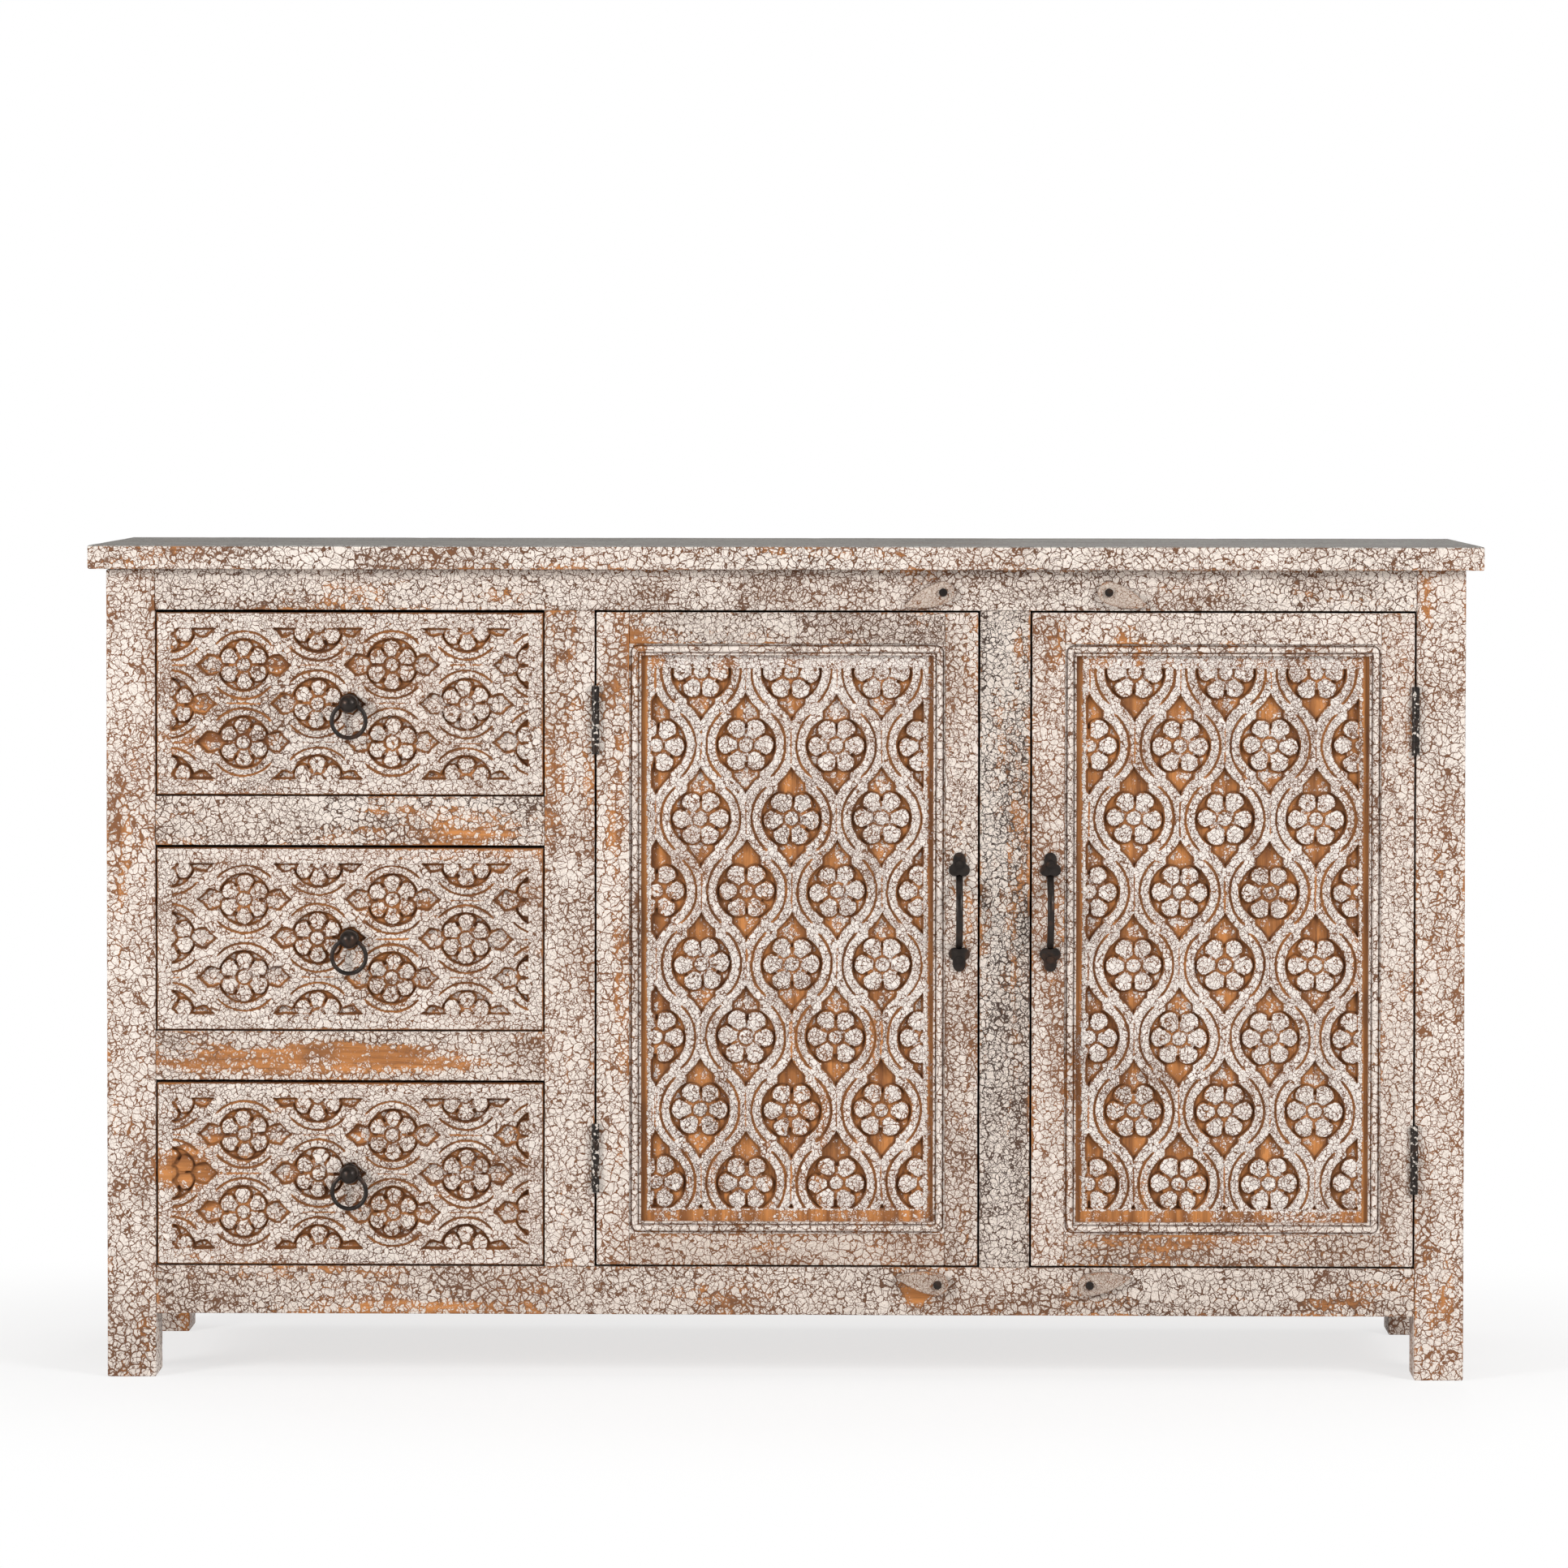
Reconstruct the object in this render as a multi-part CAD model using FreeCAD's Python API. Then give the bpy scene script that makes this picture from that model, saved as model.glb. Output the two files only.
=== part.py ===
import FreeCAD, Part
import math
import os
from FreeCAD import Vector

# A painted hardwood sideboard: three drawers on the left, two panelled doors on the right.
# Millimetres. +Z is up, the front faces -Y, and the origin is the middle of the floor print.

# Top board
top_length = 1500.0
top_depth = 400.0
top_thickness = 26.0
top_side_overhang = 18.0
top_front_overhang = 18.0
top_edge_radius = 5.0

# Posts and front frame
foot_clearance = 69.0
post_width = 53.0
post_depth = 60.0
stile_width = 54.0
rail_thickness = 32.0
top_rail_height = 44.0
bottom_rail_height = 52.0
drawer_rail_height = 53.0
drawer_opening_width = 420.0
drawer_opening_height = 201.0
drawer_names = ["upper", "middle", "lower"]

# Joints in the timber
tenon_length = 30.0
tenon_thickness = 12.0
tenon_shoulder = 10.0
stile_tenon_length = 20.0
groove_depth = 8.0

# Sides, back, floor, partition and shelf
side_rail_height = 52.0
side_rail_setback = 4.0
side_panel_setback = 12.0
side_panel_thickness = 12.0
back_panel_setback = 10.0
back_panel_thickness = 10.0
floor_thickness = 15.0
partition_thickness = 16.0
shelf_above_floor = 345.0
shelf_thickness = 18.0
shelf_setback = 70.0
cleat_width = 18.0
cleat_height = 22.0
runner_width = 14.0

# Drawers
drawer_front_thickness = 22.0
drawer_front_gap = 1.5
drawer_top_gap = 3.0
drawer_rear_gap = 10.0
drawer_side_drop = 36.0
drawer_side_thickness = 12.0
drawer_side_gap = 2.5
drawer_running_clearance = 0.3
drawer_back_thickness = 12.0
drawer_back_drop = 10.0
drawer_bottom_thickness = 6.0
drawer_bottom_lift = 10.0
drawer_groove_depth = 5.0
tail_count = 3
tail_length = 12.0
tail_root = 24.0
tail_flare = 4.0

# Ring pulls
ball_radius = 10.0
ball_reach = 14.0
rosette_radius = 10.0
rosette_thickness = 3.0
neck_radius = 5.0
shank_radius = 3.0
rivet_radius = 7.0
rivet_thickness = 2.0
ring_radius = 18.5
ring_wire_radius = 2.0
ring_clearance = 0.3

# Doors
door_thickness = 26.0
door_gap = 2.0
door_stile_width = 48.0
door_rail_height = 46.5
door_bevel = 6.0
panel_recess = 10.0
panel_thickness = 13.0

# Butt hinges
hinge_length = 74.0
hinge_inset = 118.0
hinge_barrel_radius = 4.2
hinge_axis_proud = 2.6
hinge_leaf_depth = 18.0
hinge_leaf_thickness = 2.0
hinge_screw_setback = 11.0
hinge_knuckles = 5
hinge_pin_radius = 1.8
hinge_pin_clearance = 0.05
hinge_knuckle_gap = 0.3
hinge_pocket_clearance = 0.4
hinge_screw_pitch = 25.0
hinge_screw_head_radius = 3.2
hinge_screw_radius = 1.6
hinge_screw_length = 16.0
screw_hole_clearance = 0.1

# Door handles
handle_length = 129.0
handle_reach = 30.0
handle_inset = 22.0
handle_above_middle = 30.0
handle_bar_width = 8.0
handle_bar_thickness = 6.0
handle_foot_thickness = 9.0
handle_bow_length = 80.0
handle_plate_width = 23.0
handle_plate_thickness = 3.5
handle_plate_length = 30.0
handle_tip_radius = 6.7
handle_lobe_radius = 6.5
handle_lobe_inset = 19.6
handle_waist_width = 12.0
handle_screw_inset = 13.0
handle_screw_head_radius = 4.0
handle_screw_head_height = 2.0
handle_screw_radius = 2.0
handle_screw_length = 18.0

# Wooden turn latches, each turning on one screw in a rail
latch_length = 45.5
latch_head_radius = 12.0
latch_waist = 8.8
latch_waist_share = 0.57    # how far along the leaf the waist is measured
latch_thickness = 9.0
latch_clearance = 0.5
latch_top_rest_droop = 20.0
latch_bottom_rest_rise = 10.0
latch_above_door = 20.0
latch_below_door = 17.5
latch_left_top_inset = 40.0
latch_right_top_inset = 84.0
latch_left_bottom_inset = 45.0
latch_right_bottom_inset = 65.0
latch_screw_radius = 2.25
latch_screw_clearance = 0.08
latch_screw_head_radius = 4.5
latch_screw_head_height = 3.0
latch_screw_depth = 20.0

# Places worked out from the sizes above
body_half = top_length / 2 - top_side_overhang
inner_half = body_half - post_width
carcass_depth = top_depth - top_front_overhang
front = (handle_reach - carcass_depth) / 2
rear = front + carcass_depth
frame_back = front + rail_thickness
floor_top = foot_clearance + bottom_rail_height
drawer_pitch = drawer_opening_height + drawer_rail_height
opening_top = floor_top + len(drawer_names) * drawer_pitch - drawer_rail_height
top_underside = opening_top + top_rail_height
shelf_underside = floor_top + shelf_above_floor
drawer_side_height = drawer_opening_height - drawer_side_drop
drawer_left = -inner_half
drawer_right = drawer_left + drawer_opening_width
left_door_left = drawer_right + stile_width
door_opening_width = (inner_half - left_door_left - stile_width) / 2
left_door_right = left_door_left + door_opening_width
right_door_left = left_door_right + stile_width
right_door_right = inner_half
rear_rail_front = rear - rail_thickness
back_panel_rear = rear - back_panel_setback
back_panel_front = back_panel_rear - back_panel_thickness
drawer_floors = [opening_top - drawer_opening_height - i * drawer_pitch for i in range(len(drawer_names))]

pieces = {}


def box(x0, x1, y0, y1, z0, z1):
    x0, x1 = sorted((x0, x1))
    return Part.makeBox(x1 - x0, y1 - y0, z1 - z0, Vector(x0, y0, z0))


def rod(radius, start, end):
    return Part.makeCylinder(radius, (end - start).Length, start, end - start)


def outline(edges):
    return Part.Face(Part.Wire(edges))


def line(a, b):
    return Part.LineSegment(a, b).toShape()


def arc(a, middle, b):
    return Part.Arc(a, middle, b).toShape()


def let_into(host, guest_solids):
    tool = Part.makeCompound(guest_solids)
    pieces[host] = [cut for solid in pieces[host] for cut in solid.cut(tool).Solids]


def rail_along_x(x0, x1, y0, thickness, z0, z1):
    middle = y0 + thickness / 2
    body = box(x0, x1, y0, y0 + thickness, z0, z1)
    tenon = box(min(x0, x1) - tenon_length, max(x0, x1) + tenon_length,
                middle - tenon_thickness / 2, middle + tenon_thickness / 2,
                z0 + tenon_shoulder, z1 - tenon_shoulder)
    return body.fuse(tenon).removeSplitter()


def rail_along_y(x0, x1, y0, y1, z0, z1):
    middle = (x0 + x1) / 2
    body = box(x0, x1, y0, y1, z0, z1)
    tenon = box(middle - tenon_thickness / 2, middle + tenon_thickness / 2,
                y0 - tenon_length, y1 + tenon_length, z0 + tenon_shoulder, z1 - tenon_shoulder)
    return body.fuse(tenon).removeSplitter()


def stile_along_z(x0, x1, z0, z1):
    middle = front + rail_thickness / 2
    body = box(x0, x1, front, frame_back, z0, z1)
    tenon = box(x0 + tenon_shoulder, x1 - tenon_shoulder, middle - tenon_thickness / 2,
                middle + tenon_thickness / 2, z0 - stile_tenon_length, z1 + stile_tenon_length)
    return body.fuse(tenon).removeSplitter()


def post_blank(x, y):
    return box(x, x + post_width, y, y + post_depth, 0, top_underside)


def make_posts():
    for side, x in (("left", -body_half), ("right", inner_half)):
        for place, y in (("front", front), ("rear", rear - post_depth)):
            pieces[place + "_" + side + "_post"] = [post_blank(x, y)]


def make_front_frame():
    pieces["top_front_rail"] = [
        rail_along_x(-inner_half, inner_half, front, rail_thickness, opening_top, top_underside)]
    pieces["bottom_front_rail"] = [
        rail_along_x(-inner_half, inner_half, front, rail_thickness, foot_clearance, floor_top)]
    pieces["drawer_stile"] = [stile_along_z(drawer_right, left_door_left, floor_top, opening_top)]
    pieces["centre_stile"] = [stile_along_z(left_door_right, right_door_left, floor_top, opening_top)]
    for name, floor in zip(("upper_drawer_rail", "lower_drawer_rail"), drawer_floors):
        pieces[name] = [rail_along_x(drawer_left, drawer_right, front, rail_thickness,
                                     floor - drawer_rail_height, floor)]
    for rail in ("top_front_rail", "bottom_front_rail"):
        let_into(rail, pieces["drawer_stile"] + pieces["centre_stile"])
        let_into("front_left_post", pieces[rail])
        let_into("front_right_post", pieces[rail])
    for rail in ("upper_drawer_rail", "lower_drawer_rail"):
        let_into("front_left_post", pieces[rail])
        let_into("drawer_stile", pieces[rail])


def make_sides_and_back():
    y0 = front + post_depth
    y1 = rear - post_depth
    for side, direction in (("left", -1), ("right", 1)):
        outer = direction * (body_half - side_rail_setback)
        inner = outer - direction * rail_thickness
        levels = ((foot_clearance, foot_clearance + side_rail_height),
                  (top_underside - side_rail_height, top_underside))
        rails = [rail_along_y(outer, inner, y0, y1, z0, z1) for z0, z1 in levels]
        panel_outer = direction * (body_half - side_panel_setback)
        panel = box(panel_outer, panel_outer - direction * side_panel_thickness,
                    y0 - groove_depth, y1 + groove_depth,
                    levels[0][1] - groove_depth, levels[1][0] + groove_depth)
        pieces[side + "_side_rails"] = rails
        pieces[side + "_side_panel"] = [panel]
        let_into(side + "_side_rails", [panel])
        for place in ("front_", "rear_"):
            let_into(place + side + "_post", rails + [panel])
    rear_levels = ((foot_clearance, floor_top), (top_underside - side_rail_height, top_underside))
    rear_rails = [rail_along_x(-inner_half, inner_half, rear_rail_front, rail_thickness, z0, z1)
                  for z0, z1 in rear_levels]
    back = box(-inner_half - groove_depth, inner_half + groove_depth, back_panel_front, back_panel_rear,
               rear_levels[0][1] - groove_depth, rear_levels[1][0] + groove_depth)
    pieces["rear_rails"] = rear_rails
    pieces["back_panel"] = [back]
    let_into("rear_rails", [back])
    let_into("rear_left_post", rear_rails + [back])
    let_into("rear_right_post", rear_rails + [back])


def make_floor_partition_and_shelf():
    corners = [post_blank(x, y) for x in (-body_half, inner_half) for y in (front, rear - post_depth)]
    side_inner = body_half - side_rail_setback - rail_thickness
    floor = box(-side_inner - groove_depth, side_inner + groove_depth,
                frame_back - groove_depth, rear_rail_front + groove_depth,
                floor_top - floor_thickness, floor_top)
    pieces["bottom_board"] = [floor]
    let_into("bottom_board", corners)
    for host in ("bottom_front_rail", "rear_rails", "left_side_rails", "right_side_rails"):
        let_into(host, pieces["bottom_board"])

    partition_right = drawer_right + partition_thickness
    partition = box(drawer_right, partition_right, frame_back - groove_depth, back_panel_front,
                    floor_top, top_underside)
    partition = partition.cut(Part.makeCompound(pieces["top_front_rail"] + pieces["rear_rails"]))
    pieces["partition"] = partition.Solids
    let_into("drawer_stile", pieces["partition"])

    panel_inner = body_half - side_panel_setback - side_panel_thickness
    shelf = box(partition_right, panel_inner, front + shelf_setback, back_panel_front,
                shelf_underside, shelf_underside + shelf_thickness)
    pieces["shelf"] = [shelf]
    let_into("shelf", corners)
    cleat_z = shelf_underside - cleat_height
    pieces["shelf_cleats"] = [
        box(partition_right, partition_right + cleat_width, front + shelf_setback, back_panel_front,
            cleat_z, shelf_underside),
        box(panel_inner - cleat_width, panel_inner, front + shelf_setback, back_panel_front,
            cleat_z, shelf_underside),
        box(partition_right + cleat_width, panel_inner - cleat_width,
            back_panel_front - cleat_width, back_panel_front, cleat_z, shelf_underside),
    ]
    let_into("shelf_cleats", corners)


def make_drawer_runners():
    levels = [(opening_top, top_underside)]
    levels += [(floor - drawer_rail_height, floor) for floor in drawer_floors[:-1]]
    strips = []
    for z0, z1 in levels:
        for x0 in (drawer_left, drawer_right - runner_width):
            strips.append(box(x0, x0 + runner_width, frame_back, rear_rail_front, z0, z1))
    pieces["drawer_runners"] = strips


def make_top():
    y0 = front - top_front_overhang
    top = box(-top_length / 2, top_length / 2, y0, y0 + top_depth,
              top_underside, top_underside + top_thickness)
    pieces["top_board"] = [top.makeFillet(top_edge_radius, top.Edges)]


def drawer_side(x0, x1, z0, shoulder, end):
    points = [(end, z0), (end, z0 + drawer_side_height), (shoulder, z0 + drawer_side_height)]
    for i in reversed(range(tail_count)):
        middle = z0 + (i + 0.5) * drawer_side_height / tail_count
        root = tail_root / 2
        tip = root + tail_flare
        points += [(shoulder, middle + root), (shoulder - tail_length, middle + tip),
                   (shoulder - tail_length, middle - tip), (shoulder, middle - root)]
    points += [(shoulder, z0), (end, z0)]
    face = Part.Face(Part.makePolygon([Vector(x0, y, z) for y, z in points]))
    return face.extrude(Vector(x1 - x0, 0, 0))


def pull_stud(centre, inner_face):
    face = Vector(centre.x, front, centre.z)
    ball = Part.makeSphere(ball_radius, centre)
    rosette = rod(rosette_radius, face, face - Vector(0, rosette_thickness, 0))
    neck = rod(neck_radius, face, centre)
    shank = rod(shank_radius, centre, Vector(centre.x, inner_face, centre.z))
    rivet = rod(rivet_radius, Vector(centre.x, inner_face, centre.z),
                Vector(centre.x, inner_face + rivet_thickness, centre.z))
    stud = ball.fuse([rosette, neck, shank, rivet]).removeSplitter()
    # The eye flares towards its mouths, because the ring's wire curves away inside it.
    throat = ring_wire_radius + ring_clearance
    mouth = throat + ring_radius - math.sqrt(ring_radius ** 2 - ball_radius ** 2)
    a = centre + Vector(-ball_radius, 0, mouth)
    b = centre + Vector(ball_radius, 0, mouth)
    eye = outline([arc(a, centre + Vector(0, 0, throat), b), line(b, centre + Vector(ball_radius, 0, 0)),
                   line(centre + Vector(ball_radius, 0, 0), centre - Vector(ball_radius, 0, 0)),
                   line(centre - Vector(ball_radius, 0, 0), a)])
    return stud.cut(eye.revolve(centre, Vector(1, 0, 0), 360))


def make_drawer(name, floor):
    inner_face = front + drawer_front_thickness
    end = rear_rail_front - drawer_rear_gap
    board = box(drawer_left + drawer_front_gap, drawer_right - drawer_front_gap, front, inner_face,
                floor + drawer_front_gap, floor + drawer_opening_height - drawer_top_gap)
    z0 = floor + drawer_running_clearance
    left = drawer_left + drawer_side_gap
    right = drawer_right - drawer_side_gap
    sides = [drawer_side(left, left + drawer_side_thickness, z0, inner_face, end),
             drawer_side(right - drawer_side_thickness, right, z0, inner_face, end)]
    inner_left = left + drawer_side_thickness - drawer_groove_depth
    inner_right = right - drawer_side_thickness + drawer_groove_depth
    bottom_top = z0 + drawer_bottom_lift + drawer_bottom_thickness
    bottom = box(inner_left, inner_right, inner_face - drawer_groove_depth, end,
                 z0 + drawer_bottom_lift, bottom_top)
    back = box(inner_left, inner_right, end - drawer_back_thickness, end,
               bottom_top, z0 + drawer_side_height - drawer_back_drop)
    pieces[name + "_drawer_front"] = [board]
    pieces[name + "_drawer_sides_and_back"] = sides
    pieces[name + "_drawer_bottom"] = [bottom]
    let_into(name + "_drawer_front", sides + [bottom])
    let_into(name + "_drawer_sides_and_back", [bottom, back])
    pieces[name + "_drawer_sides_and_back"].append(back)

    eye = Vector((drawer_left + drawer_right) / 2, front - ball_reach, floor + drawer_opening_height / 2)
    pieces[name + "_pull_stud"] = [pull_stud(eye, inner_face)]
    hole_start = Vector(eye.x, front, eye.z)
    let_into(name + "_drawer_front",
             [rod(shank_radius + screw_hole_clearance, hole_start, Vector(eye.x, inner_face, eye.z))])
    ring_centre = eye - Vector(0, 0, ring_radius)
    ring = Part.makeTorus(ring_radius, ring_wire_radius, ring_centre, Vector(0, 1, 0))
    pieces[name + "_pull_ring"] = [ring]


def countersunk_screw(point, inward, extra=0.0):
    head = Part.makeCone(hinge_screw_head_radius + extra, hinge_screw_radius + extra,
                         hinge_leaf_thickness, point, inward)
    shaft = rod(hinge_screw_radius + extra, point, point + inward * hinge_screw_length)
    return head.fuse(shaft).removeSplitter()


def handle_plate(x, z, end):
    half = handle_length / 2
    lobe_out = handle_plate_width / 2 - handle_lobe_radius

    def disc(radius, dx, inset):
        centre = Vector(x + dx, front, z + end * (half - inset))
        return rod(radius, centre, centre - Vector(0, handle_plate_thickness, 0))

    def strap(width, start, finish):
        low, high = sorted((z + end * (half - start), z + end * (half - finish)))
        return box(x - width / 2, x + width / 2, front - handle_plate_thickness, front, low, high)
    tip = disc(handle_tip_radius, 0, handle_tip_radius)
    return tip.fuse([disc(handle_lobe_radius, lobe_out, handle_lobe_inset),
                     disc(handle_lobe_radius, -lobe_out, handle_lobe_inset),
                     strap(handle_waist_width, handle_tip_radius, handle_lobe_inset),
                     strap(handle_bar_width, handle_lobe_inset, handle_plate_length)])


def handle_shape(x, z):
    bar = handle_bar_width / 2
    bow = handle_bow_length / 2
    inner_bow = bow - handle_foot_thickness
    reach = handle_reach - handle_bar_thickness

    def at(y, dz):
        return Vector(x - bar, front + y, z + dz)
    grip = outline([arc(at(0, bow), at(-handle_reach, 0), at(0, -bow)),
                    line(at(0, -bow), at(0, -inner_bow)),
                    arc(at(0, -inner_bow), at(-reach, 0), at(0, inner_bow)),
                    line(at(0, inner_bow), at(0, bow))])
    solid = grip.extrude(Vector(handle_bar_width, 0, 0))
    return solid.fuse([handle_plate(x, z, 1), handle_plate(x, z, -1)]).removeSplitter()


def handle_screw(x, z, extra=0.0):
    seat = Vector(x, front - handle_plate_thickness, z)
    head = rod(handle_screw_head_radius, seat, seat - Vector(0, handle_screw_head_height, 0))
    shaft = rod(handle_screw_radius + extra, seat, seat + Vector(0, handle_screw_length, 0))
    return shaft if extra else head.fuse(shaft).removeSplitter()


def make_door(name, hinge_x, direction, hinge_post):
    def at(u):
        return hinge_x + direction * u
    z0 = floor_top + door_gap
    z1 = opening_top - door_gap
    u1 = door_opening_width - door_gap
    inner_u0 = door_gap + door_stile_width
    inner_u1 = u1 - door_stile_width
    inner_z0 = z0 + door_rail_height
    inner_z1 = z1 - door_rail_height
    back = front + door_thickness
    hinge_stile = box(at(door_gap), at(inner_u0), front, back, z0, z1)
    closing_stile = box(at(inner_u1), at(u1), front, back, z0, z1)
    rails = [rail_along_x(at(inner_u0), at(inner_u1), front, door_thickness, low, high)
             for low, high in ((z0, inner_z0), (inner_z1, z1))]
    panel = box(at(inner_u0 - groove_depth), at(inner_u1 + groove_depth), front + panel_recess,
                front + panel_recess + panel_thickness, inner_z0 - groove_depth, inner_z1 + groove_depth)

    def rectangle(y, grow):
        corners = [(inner_u0 - grow, inner_z0 - grow), (inner_u1 + grow, inner_z0 - grow),
                   (inner_u1 + grow, inner_z1 + grow), (inner_u0 - grow, inner_z1 + grow)]
        corners.append(corners[0])
        return Part.makePolygon([Vector(at(u), y, z) for u, z in corners])
    bevel = Part.makeLoft([rectangle(front, door_bevel), rectangle(front + door_bevel, 0)], True, True)
    pieces[name + "_door_hinge_stile"] = [hinge_stile]
    pieces[name + "_door_closing_stile"] = [closing_stile]
    pieces[name + "_door_rails"] = rails
    pieces[name + "_door_panel"] = [panel]
    for member in ("_door_hinge_stile", "_door_closing_stile"):
        let_into(name + member, rails)
    for member in ("_door_hinge_stile", "_door_closing_stile", "_door_rails"):
        let_into(name + member, [bevel, panel])

    handle_x = at(door_opening_width - handle_inset)
    handle_z = (floor_top + opening_top) / 2 + handle_above_middle
    screw_z = handle_length / 2 - handle_screw_inset
    handle_screws = [handle_screw(handle_x, handle_z + dz) for dz in (screw_z, -screw_z)]
    handle_holes = [handle_screw(handle_x, handle_z + dz, screw_hole_clearance) for dz in (screw_z, -screw_z)]
    pieces[name + "_door_handle"] = [handle_shape(handle_x, handle_z)]
    let_into(name + "_door_handle", handle_holes)
    let_into(name + "_door_closing_stile", handle_holes)
    pieces[name + "_door_screws"] = handle_screws
    make_hinges(name, at, direction, hinge_post)


def make_hinges(name, at, direction, hinge_post):
    axis_x = at(door_gap / 2)
    axis_y = front - hinge_axis_proud
    knuckle = hinge_length / hinge_knuckles
    frame_leaves = []
    door_leaves = []
    for middle in (opening_top - hinge_inset, floor_top + hinge_inset):
        low = middle - hinge_length / 2

        def barrel(radius, first, last, gap=0.0):
            return rod(radius, Vector(axis_x, axis_y, low + first * knuckle + gap),
                       Vector(axis_x, axis_y, low + last * knuckle - gap))
        bore = barrel(hinge_pin_radius + hinge_pin_clearance, 0, hinge_knuckles)
        pocket = barrel(hinge_barrel_radius + hinge_pocket_clearance, 0, hinge_knuckles,
                        -hinge_pocket_clearance)
        frame_knuckles = range(0, hinge_knuckles, 2)
        door_knuckles = range(1, hinge_knuckles, 2)
        leaves = []
        half_gap = hinge_knuckle_gap / 2
        for seat_u, inner_u, own, other in (
                (0, -hinge_leaf_thickness, frame_knuckles, door_knuckles),
                (door_gap, door_gap + hinge_leaf_thickness, door_knuckles, frame_knuckles)):
            plate = box(at(seat_u), at(inner_u), axis_y, front + hinge_leaf_depth, low, low + hinge_length)
            leaf = plate.fuse([barrel(hinge_barrel_radius, i, i + 1, half_gap) for i in own])
            room = [barrel(hinge_barrel_radius + hinge_knuckle_gap, i, i + 1, -half_gap) for i in other]
            leaves.append((plate, leaf.cut(Part.makeCompound(room)).cut(bore).removeSplitter()))
        inward = Vector(direction, 0, 0)
        screw_y = front + hinge_screw_setback
        frame_points = []
        door_points = []
        for dz in (-hinge_screw_pitch, 0, hinge_screw_pitch):
            frame_points.append(Vector(at(0), screw_y, middle + dz))
            door_points.append(Vector(at(door_gap), screw_y, middle + dz))
        door = name + "_door_"
        for (plate, leaf), points, way, group, wood, screws in (
                (leaves[0], frame_points, -inward, frame_leaves, hinge_post, "hinge_frame_screws"),
                (leaves[1], door_points, inward, door_leaves, door + "hinge_stile", door + "screws")):
            holes = [countersunk_screw(point, way, screw_hole_clearance) for point in points]
            group.append(leaf.cut(Part.makeCompound(holes)))
            let_into(wood, [plate, pocket] + holes)
            pieces.setdefault(screws, []).extend([countersunk_screw(point, way) for point in points])
        pieces.setdefault("hinge_pins", []).append(barrel(hinge_pin_radius, 0, hinge_knuckles))
    pieces.setdefault("hinge_frame_leaves", []).extend(frame_leaves)
    pieces[name + "_door_hinge_leaves"] = door_leaves


def make_latch(name, x, z, rail, angle):
    seat = front - latch_clearance
    pivot = Vector(x, seat, z)

    along = Vector(math.cos(math.radians(angle)), 0, math.sin(math.radians(angle)))
    across = Vector(-along.z, 0, along.x)

    def on(u, v):
        return pivot + along * u + across * v
    head = latch_head_radius
    middle = latch_length * latch_waist_share
    leaf = outline([arc(on(0, head), on(-head, 0), on(0, -head)),
                    arc(on(0, -head), on(middle, -latch_waist), on(latch_length, 0)),
                    arc(on(latch_length, 0), on(middle, latch_waist), on(0, head))])
    away = Vector(0, -latch_thickness, 0)
    hole = rod(latch_screw_radius + latch_screw_clearance, pivot, pivot + away)
    pieces[name] = leaf.extrude(away).cut(hole).Solids
    under_head = pivot + away - Vector(0, latch_clearance, 0)
    tip = Vector(x, front + latch_screw_depth, z)
    head_disc = rod(latch_screw_head_radius, under_head, under_head - Vector(0, latch_screw_head_height, 0))
    screw = head_disc.fuse(rod(latch_screw_radius, under_head, tip)).removeSplitter()
    pieces.setdefault("latch_screws", []).append(screw)
    let_into(rail, [rod(latch_screw_radius + screw_hole_clearance, Vector(x, front, z), tip)])


def make_latches():
    top_z = opening_top + latch_above_door
    bottom_z = floor_top - latch_below_door
    left_edge = left_door_right
    right_edge = right_door_left
    make_latch("left_top_latch", left_edge - latch_left_top_inset, top_z, "top_front_rail",
               180 + latch_top_rest_droop)
    make_latch("right_top_latch", right_edge + latch_right_top_inset, top_z, "top_front_rail",
               -latch_top_rest_droop)
    make_latch("left_bottom_latch", left_edge - latch_left_bottom_inset, bottom_z, "bottom_front_rail",
               180 - latch_bottom_rest_rise)
    make_latch("right_bottom_latch", right_edge + latch_right_bottom_inset, bottom_z, "bottom_front_rail",
               latch_bottom_rest_rise)


make_posts()
make_front_frame()
make_sides_and_back()
make_floor_partition_and_shelf()
make_drawer_runners()
make_top()
for drawer_name, drawer_floor in zip(drawer_names, drawer_floors):
    make_drawer(drawer_name, drawer_floor)
make_door("left", left_door_left, 1, "drawer_stile")
make_door("right", right_door_right, -1, "front_right_post")
make_latches()

os.makedirs("parts", exist_ok=True)
for node, solids in pieces.items():
    shape = solids[0] if len(solids) == 1 else Part.makeCompound(solids)
    shape.exportStep("parts/" + node + ".step")
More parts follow.
